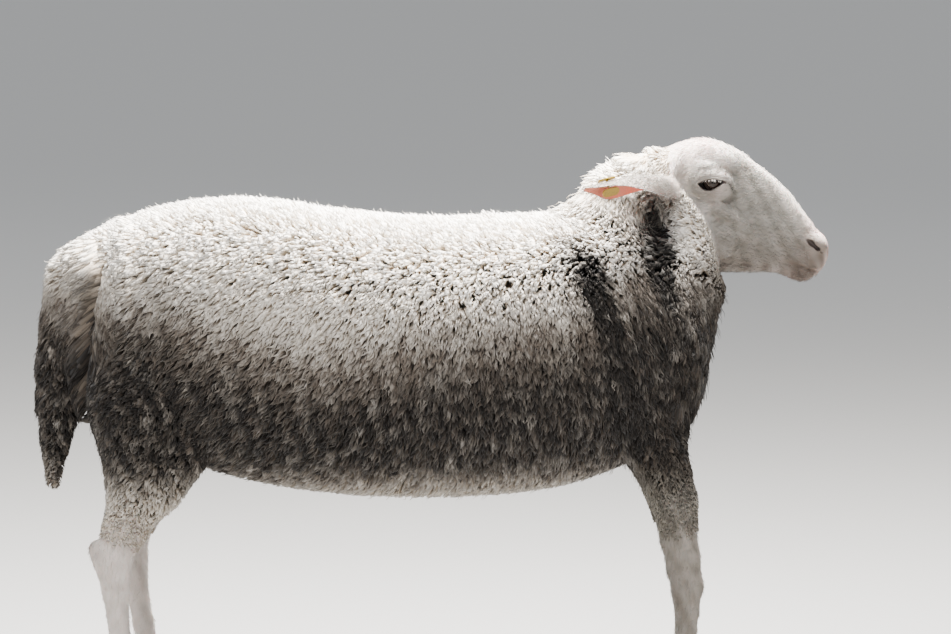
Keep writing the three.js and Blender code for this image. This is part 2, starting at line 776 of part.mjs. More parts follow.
// One leg with its two claws and two dewclaws.
function addLeg(place, sideName, chains, stride) {
  const side = sideName === "left" ? 1 : -1;
  const posed = standing(chains, side, sideName === "left" ? stride : 0);
  const parts = posed.map((joints) => limb(joints, LEG_BREADTH));
  const field = (x, y, z) =>
    parts.map((part) => part(x, y, z)).reduce((a, b) => blend(a, b, JOINT_BLEND));
  const planes = levelPlanes(posed[0], LEG_HEIGHTS[place]);
  const [footX, footY] = posed[0].at(-1);
  const tilt = 90 + radToDeg(Math.atan(coronetSlope));
  const coronet = { x: footX, z: coronetHeight(0), tilt };
  const aboveHoof = halfSpace(coronet, true, 0);
  const flesh = solid(wrap(field, planes, LEG_SIDES)).intersect(aboveHoof);
  add(`leg_${place}_${sideName}`, flesh.subtract(bodyGrown), HAIR);

  const legGrown = solid(wrapGrown(field, planes, LEG_SIDES));
  const fetlock = posed[0].at(-3);
  for (const [name, outer] of [["outer", side], ["inner", -side]]) {
    add(`hoof_${place}_${sideName}_${name}`, claw(footX, footY, outer), HORN);
    const spur = dewclaw(fetlock, outer).subtract(legGrown);
    add(`dewclaw_${place}_${sideName}_${name}`, spur, HORN);
  }
}

for (const sideName of ["left", "right"]) {
  addLeg("front", sideName, FORELEG, FORE_STRIDE);
  addLeg("hind", sideName, HINDLEG, HIND_STRIDE);
}

export default ewe;
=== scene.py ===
"""A polled, long-tailed white ewe in half-grown fleece, as a life-size still model.

One skin covers the animal, and a coat of solid locks and hairs grows on it. Eyes, lashes,
hooves and the ear tag are pieces of their own.

A field is a function of place that is negative inside the flesh and about the distance to its
surface elsewhere. One gives the tips of the coat and another, inside it by the coat's depth,
the skin. Lengths are in metres, and tables in millimetres.
"""

import logging
import math
from dataclasses import dataclass, field
from enum import Enum
from typing import Callable, Iterable, Sequence

import bpy
import numpy as np
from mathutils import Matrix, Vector


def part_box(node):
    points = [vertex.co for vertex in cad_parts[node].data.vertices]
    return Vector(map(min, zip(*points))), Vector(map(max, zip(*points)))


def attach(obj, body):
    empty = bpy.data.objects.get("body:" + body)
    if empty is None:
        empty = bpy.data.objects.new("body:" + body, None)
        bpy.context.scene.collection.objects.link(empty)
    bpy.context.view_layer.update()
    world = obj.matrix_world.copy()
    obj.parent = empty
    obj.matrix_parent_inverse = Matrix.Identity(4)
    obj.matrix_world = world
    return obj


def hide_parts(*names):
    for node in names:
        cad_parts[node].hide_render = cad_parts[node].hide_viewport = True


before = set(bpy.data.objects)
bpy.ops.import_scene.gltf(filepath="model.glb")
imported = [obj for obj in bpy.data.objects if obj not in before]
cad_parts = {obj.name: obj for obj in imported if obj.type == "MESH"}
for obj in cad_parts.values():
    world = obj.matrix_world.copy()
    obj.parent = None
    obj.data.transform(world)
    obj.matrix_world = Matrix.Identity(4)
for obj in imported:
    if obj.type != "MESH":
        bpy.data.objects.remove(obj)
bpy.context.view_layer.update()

Array = np.ndarray
Field = Callable[[Array, Array, Array], Array]
Triple = tuple[float, float, float]
Colour = Triple
Surface = tuple[Array, Array]  # points, and triangles as rows of three of them
Material, Thing, Draws = bpy.types.Material, bpy.types.Object, np.random.Generator

LOG = logging.getLogger("ewe")
MM = 0.001
FAR = 0.08  # what a field says where nothing is near
RIGHT, LEFT = -1, 1
NAMES = {RIGHT: "right", LEFT: "left"}


def table(*rows: Sequence[float]) -> Array:
    """Rows of millimetres as an array of metres."""
    return np.array(rows, float) * MM


def unit(vectors: Array) -> Array:
    """Each vector divided by its length."""
    return vectors / np.maximum(np.linalg.norm(vectors, axis=-1, keepdims=True), 1e-12)


def stacked(*parts: Array | float) -> Array:
    """Vectors from their parts, which are spread over each other's shapes first."""
    return np.stack(np.broadcast_arrays(*parts), -1)


def in_plane(vectors: Array, normals: Array) -> Array:
    """Vectors less the part of each that runs along its normal."""
    return vectors - (vectors * normals).sum(-1, keepdims=True) * normals


def ramp(value: Array, start: float, end: float) -> Array:
    """From 0 at start to 1 at end, as 3 u^2 - 2 u^3 of the share u between them."""
    share = np.clip((value - start) / (end - start), 0, 1)
    return share * share * (3 - 2 * share)


def bell(value: Array, spread: float) -> Array:
    """exp(-(value / spread)^2)."""
    return np.exp(-np.square(value / spread))


def blend(a: Array, b: Array, width: float) -> Array:
    """The union of two fields: the lower one, less width / 4 times the overlap squared."""
    overlap = np.maximum(width - np.abs(a - b), 0) / width
    return np.minimum(a, b) - overlap * overlap * width / 4


def carve(a: Array, b: Array, width: float) -> Array:
    """Field a with field b cut out of it, its edge rounded over a width."""
    return -blend(-a, b, width)


def box(node: str) -> Array:
    """The lowest and the highest corner of one of the frame's nodes."""
    return np.array([list(corner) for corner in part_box(node)])


def in_scene(name: str, data: bpy.types.ID) -> Thing:
    """A new object in the scene for a mesh, a lamp or a camera."""
    thing = bpy.data.objects.new(name, data)
    bpy.context.scene.collection.objects.link(thing)
    return thing


class Curve:
    """A smooth curve through knots, with their neighbours' chords for slopes, level at the ends."""

    def __init__(self, at: Sequence[float], values: Sequence[float]) -> None:
        """Keeps the knots and works out their slopes.

        Args:
            at: The knots' places, rising.
            values: The curve's values there.
        """
        self.at = np.asarray(at, float)
        self.values = np.asarray(values, float)
        self.slopes = np.zeros(len(self.at))
        self.slopes[1:-1] = (self.values[2:] - self.values[:-2]) / (self.at[2:] - self.at[:-2])

    def __call__(self, x: Array) -> Array:
        """The curve at some places.

        Args:
            x: The places.

        Returns:
            The cubic there, from both knots' values and slopes and the share u between them.
        """
        inside = np.clip(x, self.at[0], self.at[-1])
        i = np.clip(np.searchsorted(self.at, inside, side="right") - 1, 0, len(self.at) - 2)
        step = self.at[i + 1] - self.at[i]
        u = (inside - self.at[i]) / step
        rise = u * u * (3 - 2 * u)
        bend = self.slopes[i] * u * (1 - u) ** 2 + self.slopes[i + 1] * u * u * (u - 1)
        return self.values[i] * (1 - rise) + self.values[i + 1] * rise + step * bend


class Waves:
    """Smooth seeded noise of mean 0 and spread 1: sines that run in random directions."""

    def __init__(self, seed: int, wavelength: float, count: int = 9) -> None:
        """Draws the directions, lengths and phases of the waves.

        Args:
            seed: The seed they are drawn from.
            wavelength: Their middle length, from crest to crest.
            count: How many there are.
        """
        rng = np.random.default_rng(seed)
        lengths = wavelength * rng.uniform(0.65, 1.5, (count, 1))
        self.steps = unit(rng.normal(size=(count, 3))) * 2 * np.pi / lengths
        self.phases = rng.uniform(0, 2 * np.pi, count)

    def __call__(self, points: Array) -> Array:
        """The noise at points."""
        waves = np.sin(points @ self.steps.T + self.phases)
        return waves.sum(-1) * math.sqrt(2 / len(self.phases))


# ---- forms of flesh


@dataclass(frozen=True)
class Barrel:
    """A barrel along x with superelliptic sections, rounded off at both ends.

    Its stations are rows of x, top, bottom and half width. Where the superellipse's gauge is g,
    the field is the distance from the axis times 1 - 1/g.
    """

    stations: Array
    squareness: float
    back_rounding: float
    front_rounding: float

    def __call__(self, x: Array, y: Array, z: Array) -> Array:
        """The field.

        Args:
            x, y, z: The places.

        Returns:
            Its values there.
        """
        top, bottom, half = (Curve(self.stations[:, 0], c) for c in self.stations.T[1:])
        back, front = self.stations[0, 0], self.stations[-1, 0]
        past = np.maximum((back - x) / self.back_rounding, (x - front) / self.front_rounding)
        rounding = np.where(x < back, self.back_rounding, self.front_rounding)
        beyond = np.maximum(past - 1, 0) * rounding
        shrink = np.sqrt(np.maximum(1 - np.maximum(past, 0) ** 2, 1e-6))
        middle = (top(x) + bottom(x)) / 2
        half_height = (top(x) - bottom(x)) / 2 * shrink
        across = np.abs(y) / (half(x) * shrink)
        up = np.abs(z - middle) / half_height
        q = self.squareness
        gauge = np.maximum((across**q + up**q) ** (1 / q), 1e-3)
        radial = np.hypot(y, z - middle) * (1 - 1 / gauge)
        return np.where(beyond > 0, np.hypot(radial, beyond), radial)


@dataclass(frozen=True)
class Limb:
    """A limb of tapered lengths between joints, which are rows of x, y, z and radius."""

    joints: Array
    breadth: float = 1
    blending: float = 8 * MM

    def __call__(self, x: Array, y: Array, z: Array) -> Array:
        """The field.

        Args:
            x, y, z: The places.

        Returns:
            Its values there.
        """
        distance = np.full(np.broadcast(x, y, z).shape, FAR)
        squeeze = np.array([1, self.breadth, 1])
        for start, end in zip(self.joints, self.joints[1:]):
            run = (end - start)[:3] / squeeze
            fx, fy, fz = x - start[0], (y - start[1]) / self.breadth, z - start[2]
            share = np.clip((fx * run[0] + fy * run[1] + fz * run[2]) / (run @ run), 0, 1)
            off = (fx - share * run[0]) ** 2 + (fy - share * run[1]) ** 2
            off = np.sqrt(off + (fz - share * run[2]) ** 2)
            radius = start[3] + share * (end[3] - start[3])
            distance = blend(distance, off - radius, self.blending)
        return distance


@dataclass(frozen=True)
class Swelling:
    """An ellipsoid: its middle x, y, z and its half lengths along them, in millimetres."""

    row: tuple[float, float, float, float, float, float]

    def __call__(self, x: Array, y: Array, z: Array) -> Array:
        """The field.

        Args:
            x, y, z: The places.

        Returns:
            Its values there.
        """
        middle, half = np.array(self.row[:3]) * MM, np.array(self.row[3:]) * MM
        u, v, w = (x - middle[0]) / half[0], (y - middle[1]) / half[1], (z - middle[2]) / half[2]
        scaled = np.sqrt(u * u + v * v + w * w)
        steepness = np.sqrt((u / half[0]) ** 2 + (v / half[1]) ** 2 + (w / half[2]) ** 2)
        return scaled * (scaled - 1) / np.maximum(steepness, 1)


@dataclass(frozen=True)
class Tilted:
    """A frame in the middle plane, at a place and turned down by an angle in degrees."""

    x: float
    z: float
    angle: float

    @property
    def turns(self) -> tuple[float, float]:
        """The angle's cosine and sine."""
        return math.cos(math.radians(self.angle)), math.sin(math.radians(self.angle))

    def into(self, x: Array, z: Array) -> tuple[Array, Array]:
        """x and z as a distance along the frame's axis and one up from it."""
        (cos, sin), dx, dz = self.turns, x - self.x, z - self.z
        return dx * cos - dz * sin, dx * sin + dz * cos

    def place(self, t: Array, y: Array, n: Array) -> Array:
        """The points that lie t along the axis, y across it and n up from it."""
        cos, sin = self.turns
        return stacked(self.x + t * cos + n * sin, y, self.z - t * sin + n * cos)

    def turn(self, vectors: Array) -> Array:
        """Vectors from the frame's axes to the animal's."""
        (cos, sin), (t, y, n) = self.turns, np.moveaxis(vectors, -1, 0)
        return stacked(t * cos + n * sin, y, n * cos - t * sin)


@dataclass(frozen=True)
class Form:
    """A field that counts only inside a box, and the width over which it joins the rest."""

    field: Field
    low: Triple
    high: Triple
    joining: float


@dataclass(frozen=True)
class Forms:
    """Several forms as one field, in the order in which they join."""

    forms: list[Form]

    def at(self, points: Array) -> Array:
        """The field at points.

        Args:
            points: The places, a row each.

        Returns:
            The field of every form whose box holds them, blended.
        """
        distance = np.full(len(points), FAR)
        for form in self.forms:
            near = np.all((points > form.low) & (points < form.high), axis=1)
            found = form.field(*points[near].T)
            distance[near] = blend(distance[near], found, form.joining)
        return distance

    def on_grid(self, axes: tuple[Array, Array, Array]) -> Array:
        """The field on a grid.

        Args:
            axes: The grid's places along x, y and z.

        Returns:
            The field at each of its crossings.
        """
        distance = np.full([len(axis) for axis in axes], FAR, np.float32)
        for form in self.forms:
            ends = zip(form.low, form.high)
            cut = tuple(slice(*np.searchsorted(axis, end)) for axis, end in zip(axes, ends))
            x, y, z = np.ix_(*(axis[part] for axis, part in zip(axes, cut)))
            distance[cut] = blend(distance[cut], form.field(x, y, z), form.joining)
        return distance

    def slope(self, points: Array, step: float = 0.8 * MM) -> Array:
        """The field's slope.

        Args:
            points: The places.
            step: How far each way it is measured.

        Returns:
            A vector for each place.
        """
        ways = np.eye(3) * step
        sides = [(self.at(points + way) - self.at(points - way)) / (2 * step) for way in ways]
        return np.stack(sides, -1)

    def settle(self, points: Array, level: Array | float = 0.0, rounds: int = 3) -> Array:
        """Moves points to where the field has a level.

        Args:
            points: Where they start.
            level: The level, for all or for each.
            rounds: How often they step by (field - level) / slope.

        Returns:
            Where they end.
        """
        longest = 20 * MM
        for _ in range(rounds):
            slope = self.slope(points)
            steep = np.maximum((slope**2).sum(-1), 0.2)
            step = ((self.at(points) - level) / steep)[:, None] * slope
            length = np.linalg.norm(step, axis=1, keepdims=True)
            points = points - step * np.minimum(1, longest / np.maximum(length, 1e-9))
        return points


# ---- the ewe's build

TRUNK = Barrel(
    # x, back, belly, half width
    table(
        (-440, 760, 452, 145), (-400, 772, 432, 165), (-350, 782, 412, 178),
        (-290, 788, 392, 188), (-220, 784, 376, 198), (-150, 773, 366, 208), (-75, 764, 360, 214),
        (0, 759, 358, 216), (75, 760, 360, 213), (150, 763, 367, 203), (210, 765, 380, 190),
        (260, 757, 398, 176), (310, 735, 420, 160),
    ),
    squareness=2.3,
    back_rounding=57 * MM,
    front_rounding=76 * MM,
)
CREST = Limb(
    table(
        (235, 0, 660, 96), (265, 0, 773, 61), (302, 0, 771, 65), (330, 0, 780, 60),
        (348, 0, 788, 57), (370, 0, 798, 55),
    ),
    breadth=1.15,
)
THROAT = Limb(
    table(
        (275, 0, 545, 118), (300, 0, 600, 102), (328, 0, 655, 87), (350, 0, 702, 73),
        (365, 0, 740, 62),
    ),
    breadth=1.15,
)
TAIL = table(
    (-455, 0, 690, 59), (-494, 0, 668, 56), (-514, 0, 600, 43), (-524, 0, 540, 39),
    (-527, 0, 490, 35), (-533, 0, 440, 22), (-536, 0, 385, 12),
)
DOCK_RADII = np.array([26, 22, 16, 13, 11, 9, 6]) * MM  # the tail's flesh, at those joints
TAIL_BREADTH = 1.1
# Right legs: rows of x, distance from the middle plane, z and radius, and a limb for each list.
FORELEG = [
    table(
        (262, 105, 560, 55), (300, 100, 450, 50), (333, 96, 360, 33), (346, 92, 280, 25),
        (352, 91, 238, 24), (352, 90, 205, 18), (352, 89, 150, 15.5), (351, 88, 88, 20),
        (362, 88, 57, 18), (371, 88, 42, 21),
    )
]
HINDLEG = [
    table(
        (-395, 95, 600, 60), (-410, 98, 500, 82), (-412, 98, 400, 56), (-438, 95, 330, 33),
        (-455, 94, 286, 27), (-452, 93, 240, 20), (-446, 92, 170, 16.5), (-440, 91, 92, 20.5),
        (-428, 91, 58, 18.5), (-420, 91, 42, 21),
    ),
    table((-345, 100, 470, 52), (-398, 98, 385, 42)),
    table((-452, 94, 262, 19), (-478, 94, 301, 14)),
]
LEG_BREADTH = 0.88
STRIDES = {"front": 25 * MM, "hind": 55 * MM}  # how far the left foot stands ahead
LEGS = {"front": FORELEG, "hind": HINDLEG}

HEAD = Tilted(350.7 * MM, 808 * MM, 27.5)  # t runs down the face and n stands up from it
SKULL = Barrel(
    # t, brow and nose, jaw, half width
    table(
        (-45, 24, -32, 48), (-20, 49, -42, 56), (3, 65, -54, 58), (26, 72, -67, 56),
        (46, 74, -77, 52), (68, 73, -89, 47), (86, 69, -96, 44), (105, 66, -96, 41),
        (143, 56, -79, 32), (170, 44, -65, 30), (193, 33, -56, 29), (212, 25, -53, 29),
    ),
    squareness=2.25,
    back_rounding=25 * MM,
    front_rounding=29 * MM,
)
CHEEKBONE = Limb(table((60, 50, -10, 12), (120, 33, -22, 8)))
SWELLINGS = {
    "orbit": Swelling((36, 50, 17, 36, 16, 27)),
    "brow": Swelling((30, 25, 50, 35, 26, 19)),
    "cheek": Swelling((80, 36, -50, 36, 15, 32)),
    "nostril_wing": Swelling((213, 21, 6, 19, 12, 12)),
    "upper_lip": Swelling((214, 14, -18, 23, 18, 15)),
    "chin": Swelling((203, 0, -42, 27, 21, 13)),
}
NECK_TOP = Tilted(335 * MM, 752 * MM, -26.3)
# The widths over which forms join.
TRUNK_JOIN, SHOULDER_JOIN, LIMB_JOIN = 1 * MM, 30 * MM, 14 * MM
HEAD_JOIN, FACE_JOIN, FEATURE_JOIN, EAR_JOIN = 12 * MM, 16 * MM, 10 * MM, 12 * MM

FLEECE_DEPTH, HAIR_DEPTH = 34 * MM, 2.5 * MM
WOOL_ENDS = {"front": (330 * MM, 440 * MM), "hind": (300 * MM, 430 * MM)}  # none, full
# Where wool begins on the head: t of its front edge by n.
FACE_EDGE = Curve(
    np.array([-110, -90, -58, -42, -27, -10, 10, 26, 42, 60]) * MM,
    np.array([116, 103, 78, 60, 34, -8, -24, -30, -20, -16]) * MM,
)


def skull_and_features(t: Array, y: Array, n: Array) -> Array:
    """The head out to the tips of its hair.

    Args:
        t, y, n: The places, in the head's own frame.

    Returns:
        The field there of skull, cheekbones and swellings, alike on both sides.
    """
    side = np.abs(y)
    distance = SKULL(t, side, n)
    for part in (CHEEKBONE, *SWELLINGS.values()):
        distance = blend(distance, part(t, side, n), FEATURE_JOIN)
    return distance


def neck(x: Array, y: Array, z: Array) -> Array:
    """The neck's outer field: crest and throat as one, sunk under the bare face."""
    t, n = HEAD.into(x, z)
    sunk = 32 * MM * ramp(t - FACE_EDGE(n), -4 * MM, 18 * MM) * ramp(n, -112 * MM, -94 * MM)
    return blend(CREST(x, y, z), THROAT(x, y, z), SHOULDER_JOIN) + sunk


def standing(place: str, side: int) -> list[Array]:
    """The joints of one leg where it stands.

    Args:
        place: front or hind.
        side: RIGHT or LEFT.

    Returns:
        The joints of each limb, moved ahead on the left the more the lower they lie.
    """
    hip = LEGS[place][0][0, 2]
    stride = STRIDES[place] if side == LEFT else 0
    posed = []
    for joints in LEGS[place]:
        moved = joints * (1, side, 1, 1)
        moved[:, 0] += stride * (1 - joints[:, 2] / hip)
        posed.append(moved)
    return posed


# ---- eyes, lids and face


@dataclass(frozen=True)
class Eye:
    """One eyeball, as big and where the frame has it, in the head's own frame."""

    t: float
    y: float
    n: float
    radius: float
    side: int

    @classmethod
    def from_frame(cls, side: int) -> "Eye":
        """The eye of one side, from its node's box.

        Args:
            side: RIGHT or LEFT.

        Returns:
            The eye, with its radius half the box's length along x.
        """
        low, high = box(f"eye_{NAMES[side]}")
        x, y, z = (low + high) / 2
        t, n = HEAD.into(x, z)
        return cls(t, abs(y), n, (high[0] - low[0]) / 2, side)


EYES = [Eye.from_frame(side) for side in NAMES]


@dataclass(frozen=True)
class Lids:
    """The slit between the lids, in the head's t and n, and what surrounds it."""

    outer: tuple[float, float] = (18.5 * MM, 4.8 * MM)
    inner: tuple[float, float] = (50 * MM, 24.2 * MM)
    upper: float = 4.4 * MM
    lower: float = 9.6 * MM
    thickness: float = 2.3 * MM
    floor: float = -1 * MM  # how far out from the eyeball's middle the slit is cut

    def along(self, t: Array, n: Array) -> tuple[Array, Array]:
        """Places as measured along the slit.

        Args:
            t, n: The places.

        Returns:
            A share from -1 at the outer corner to 1 at the inner one, and a height.
        """
        outer, inner = np.array(self.outer), np.array(self.inner)
        middle, run = (outer + inner) / 2, (inner - outer) / 2
        reach = math.hypot(*run)
        dt, dn = t - middle[0], n - middle[1]
        share = (dt * run[0] + dn * run[1]) / reach**2
        return share, (dn * run[0] - dt * run[1]) / reach

    def opening(self, t: Array, n: Array) -> Array:
        """How far places lie outside the slit.

        The upper lid's edge is the parabola upper (1 - share^2), and the lower one's, which
        sags most near the outer corner, is lower (1 - share^2) (1 - share / 2).

        Args:
            t, n: The places.

        Returns:
            Their height past the nearer edge.
        """
        share, height = self.along(t, n)
        bow = 1 - share * share
        sag = self.lower * bow * (1 - 0.5 * np.clip(share, -1, 1))
        return np.maximum(height - self.upper * bow, -sag - height)


LIDS = Lids()
NOSTRIL = Limb(
    table((199, 29, 4.5, 2.5), (206, 29, 3, 1.6), (216, 27, 1, 0.9), (226, 23.5, -1.5, 0.6))
)
MOUTH = {"t": 209 * MM, "n": -32 * MM, "slant": 10, "back": 180 * MM, "front": 196 * MM}
TEAR_LINE = table((54, 25, 1.2), (60, 24.4, 2.4), (66, 20.1, 2.8), (75, 18.6, 1.0))  # t, n, depth
# Hollows and folds: a line of t, n and depth in millimetres, and how far it spreads.
HOLLOWS = {
    "under_brow": ([(10, 22, 1.6), (26, 33, 3.0), (46, 40, 3.2), (64, 34, 1.5)], 4.0),
    "temple": ([(-12, 40, 2.5), (-10, 14, 6.0), (-4, -10, 5.0), (6, -30, 2.5)], 8.5),
    "under_orbit": ([(12, -6, 2.0), (30, -16, 2.6), (52, -10, 2.4), (70, 6, 1.6)], 5.0),
    "cheek_front": ([(92, 4, 1.6), (128, -8, 1.8)], 8.0),
    "jaw": ([(70, -30, 1.8), (96, -52, 2.2)], 9.0),
    "lip": ([(176, -34, 1.6), (196, -16, 0.8)], 4.0),
}


def woolliness(t: Array, n: Array) -> Array:
    """How deep the wool of head and neck is at t and n, from 0 on the bare face to 1."""
    behind_face = ramp(FACE_EDGE(n) - t, -3 * MM, 34 * MM)
    return np.maximum(behind_face, ramp(-n, 94 * MM, 112 * MM))


def bare_face(points: Array) -> Array:
    """Which points lie on the face, where no wool grows."""
    return (woolliness(*HEAD.into(points[:, 0], points[:, 2])) < 0.04) & (points[:, 0] > 300 * MM)


def near_line(line: Array, spread: float, t: Array, n: Array) -> Array:
    """How deep a hollow along a line is: its depth times a bell of the distance from it.

    Args:
        line: Rows of t, n and depth.
        spread: The bell's spread.
        t, n: Where it is wanted.

    Returns:
        The depth there.
    """
    depth = np.zeros(np.broadcast(t, n).shape)
    for start, end in zip(line, line[1:]):
        run = (end - start)[:2]
        share = np.clip(((t - start[0]) * run[0] + (n - start[1]) * run[1]) / (run @ run), 0, 1)
        away = np.hypot(t - start[0] - share * run[0], n - start[1] - share * run[1])
        here = (start[2] + share * (end[2] - start[2])) * bell(away, spread)
        depth = np.maximum(depth, here)
    return depth


def mouth_height(t: Array, n: Array) -> Array:
    """How far up from the line between the lips a place lies."""
    return n - MOUTH["n"] - (t - MOUTH["t"]) * math.tan(math.radians(MOUTH["slant"]))


def with_lids(distance: Array, t: Array, side: Array, n: Array) -> Array:
    """Wraps the lids round the eyeball and cuts the slit between them.

    Args:
        distance: The head's field so far.
        t, side, n: The places, side being the distance from the middle plane.

    Returns:
        The field with lids, the folds above and below them, and the tear groove.
    """
    eye = EYES[0]
    from_eye = np.sqrt((t - eye.t) ** 2 + (side - eye.y) ** 2 + (n - eye.n) ** 2)
    distance = blend(distance, from_eye - eye.radius - LIDS.thickness, 4 * MM)
    outside = LIDS.opening(t, n)
    _, height = LIDS.along(t, n)
    folds = 1.3 * bell(outside - 5.2 * MM, 1.3 * MM) * ramp(height, 0, 5 * MM)
    folds = folds + 0.8 * bell(outside - 4.2 * MM, 1.1 * MM) * ramp(-height, 0, 4 * MM)
    distance = distance + MM * folds * ramp(side, 30 * MM, 40 * MM)
    distance = carve(distance, np.maximum(outside, eye.y + LIDS.floor - side), 1.4 * MM)
    return distance + near_line(TEAR_LINE, 1.7 * MM, t, n) * ramp(side, 20 * MM, 28 * MM)


def lip_relief(t: Array, y: Array, n: Array) -> Array:
    """The relief of lips and nose.

    Args:
        t, y, n: The places, in the head's own frame.

    Returns:
        How far in the skin lies: between full lips, and in the groove down the nose's middle.
    """
    mouth = mouth_height(t, n)
    inside_lips = ramp(t, MOUTH["back"], MOUTH["front"])
    lips = 2.6 * bell(mouth, 1.3 * MM) - 0.9 * bell(np.abs(mouth) - 4 * MM, 2.6 * MM)
    cleft = 1.8 * bell(y, 1.3 * MM) * ramp(t, 216 * MM, 228 * MM)
    cleft = cleft * ramp(mouth, 0, 3 * MM) * ramp(-n, -8 * MM, 2 * MM)
    return MM * (lips * inside_lips + cleft)


def face(t: Array, y: Array, n: Array) -> Array:
    """The skin of the head.

    Args:
        t, y, n: The places, in the head's own frame.

    Returns:
        The field there, with a bony face's hollows, lids, nostrils and lips cut in.
    """
    side = np.abs(y)
    distance = skull_and_features(t, y, n) + HAIR_DEPTH + 18 * MM * woolliness(t, n)
    for line, spread in HOLLOWS.values():
        distance = distance + near_line(table(*line), spread * MM, t, n)
    distance = with_lids(distance, t, side, n)
    distance = carve(distance, NOSTRIL(t, side, n), 1.8 * MM)
    return distance + lip_relief(t, y, n)


# ---- skin


def on_body(function: Field) -> Field:
    """Carries a field from the head's own frame to the whole ewe's.

    Args:
        function: The field of t, y and n.

    Returns:
        It as a field of x, y and z.
    """

    def there(x: Array, y: Array, z: Array) -> Array:
        """The field at x, y and z."""
        t, n = HEAD.into(x, z)
        return function(t, y, n)

    return there


def box_of(joints: Array, margin: float = 45 * MM) -> tuple[tuple, tuple]:
    """The lowest and the highest corner of a box round a limb."""
    reach = joints[:, 3:] + margin
    return tuple((joints[:, :3] - reach).min(0)), tuple((joints[:, :3] + reach).max(0))


TRUNK_BOX = ((-0.57, -0.27, 0.30), (0.43, 0.27, 0.84))
NECK_BOX = ((0.09, -0.20, 0.38), (0.45, 0.20, 0.90))
HEAD_BOX = ((0.27, -0.11, 0.60), (0.60, 0.11, 0.90))


def leg_flesh(joints: Array, place: str) -> Array:
    """A leg's joints inside its wool and hair.

    Args:
        joints: The joints, with radii out to the tips of the coat.
        place: front or hind.

    Returns:
        The joints, each radius less the depth of the coat there.
    """
    bare, woolly = WOOL_ENDS[place]
    inner = joints.copy()
    depth = HAIR_DEPTH + 19 * MM * ramp(joints[:, 2], bare, woolly)
    inner[:, 3] -= np.minimum(depth, 0.45 * joints[:, 3])
    return inner


def put_together(
    trunk: Field, neck_field: Field, head: Form, tail: Array, flesh: bool
) -> list[Form]:
    """The forms of a whole ewe but for its ears.

    Args:
        trunk, neck_field: Their fields.
        head: The head's form.
        tail: The tail's joints.
        flesh: Whether the legs are wanted inside their coat.

    Returns:
        The forms in the order in which they join.
    """
    forms = [
        Form(trunk, *TRUNK_BOX, TRUNK_JOIN),
        Form(neck_field, *NECK_BOX, SHOULDER_JOIN),
        head,
        Form(Limb(tail, TAIL_BREADTH), *box_of(TAIL), LIMB_JOIN),
    ]
    for place in LEGS:
        for side in NAMES:
            for joints in standing(place, side):
                limb = Limb(leg_flesh(joints, place) if flesh else joints, LEG_BREADTH)
                forms.append(Form(limb, *box_of(joints), LIMB_JOIN))
    return forms


def outer_forms() -> Forms:
    """The ewe out to the tips of its coat, but for its ears."""
    head = Form(on_body(skull_and_features), *HEAD_BOX, HEAD_JOIN)
    return Forms(put_together(TRUNK, neck, head, TAIL, flesh=False))


def trunk_skin(x: Array, y: Array, z: Array) -> Array:
    """The trunk inside its fleece, which is thinner under the belly."""
    thin = 12 * MM * ramp(-z, -470 * MM, -400 * MM)
    return TRUNK(x, y, z) + FLEECE_DEPTH - thin


def neck_skin(x: Array, y: Array, z: Array) -> Array:
    """The neck inside its fleece, which is thinner towards the head."""
    ahead, _ = NECK_TOP.into(x, z)
    full = (31 - 9 * ramp(ahead, -110 * MM, 25 * MM)) * MM
    return neck(x, y, z) + HAIR_DEPTH + (full - HAIR_DEPTH) * woolliness(*HEAD.into(x, z))


def skin_forms() -> Forms:
    """The ewe's skin.

    Returns:
        Its forms, with a stump for each ear to grow from.
    """
    dock = np.column_stack([TAIL[:, :3], DOCK_RADII])
    head = Form(on_body(face), *HEAD_BOX, FACE_JOIN)
    forms = put_together(trunk_skin, neck_skin, head, dock, flesh=True)
    for side, lines in EAR_LINES.items():
        stump = np.column_stack([lines[:2], EAR_STUMP]) * (1, -side, 1, 1)
        forms.append(Form(Limb(stump), *box_of(stump), EAR_JOIN))
    return Forms(forms)


def spaced(*stretches: tuple[float, float]) -> Array:
    """A rising axis with finer steps in some stretches.

    Args:
        stretches: Where each ends and its step, in millimetres; the first is the start.

    Returns:
        Its places.
    """
    places = [np.array([stretches[0][0]])]
    for (start, _), (end, step) in zip(stretches, stretches[1:]):
        places.append(np.arange(start, end - step / 2, step) + step)
    return np.concatenate(places) * MM


# Fine where skin shows, finest at the eyes and the nostrils, and coarse under the fleece.
STRETCHES = (
    ((-575, 0), (-520, 11), (-330, 5), (262, 11), (350, 5), (365, 3.1), (415, 1.45), (530, 3.2))
    + ((558, 1.55), (574, 3.1)),
    ((-220, 0), (-126, 11), (-72, 5), (-66, 3.1), (-43, 1.55), (43, 3.2), (66, 1.55))
    + ((72, 3.1), (126, 5), (220, 11)),
    ((10, 0), (340, 5), (630, 11), (696, 3.1), (722, 1.55), (786, 3.1), (826, 1.45), (868, 3.1)),
)
GRID = tuple(spaced(*stretches) for stretches in STRETCHES)


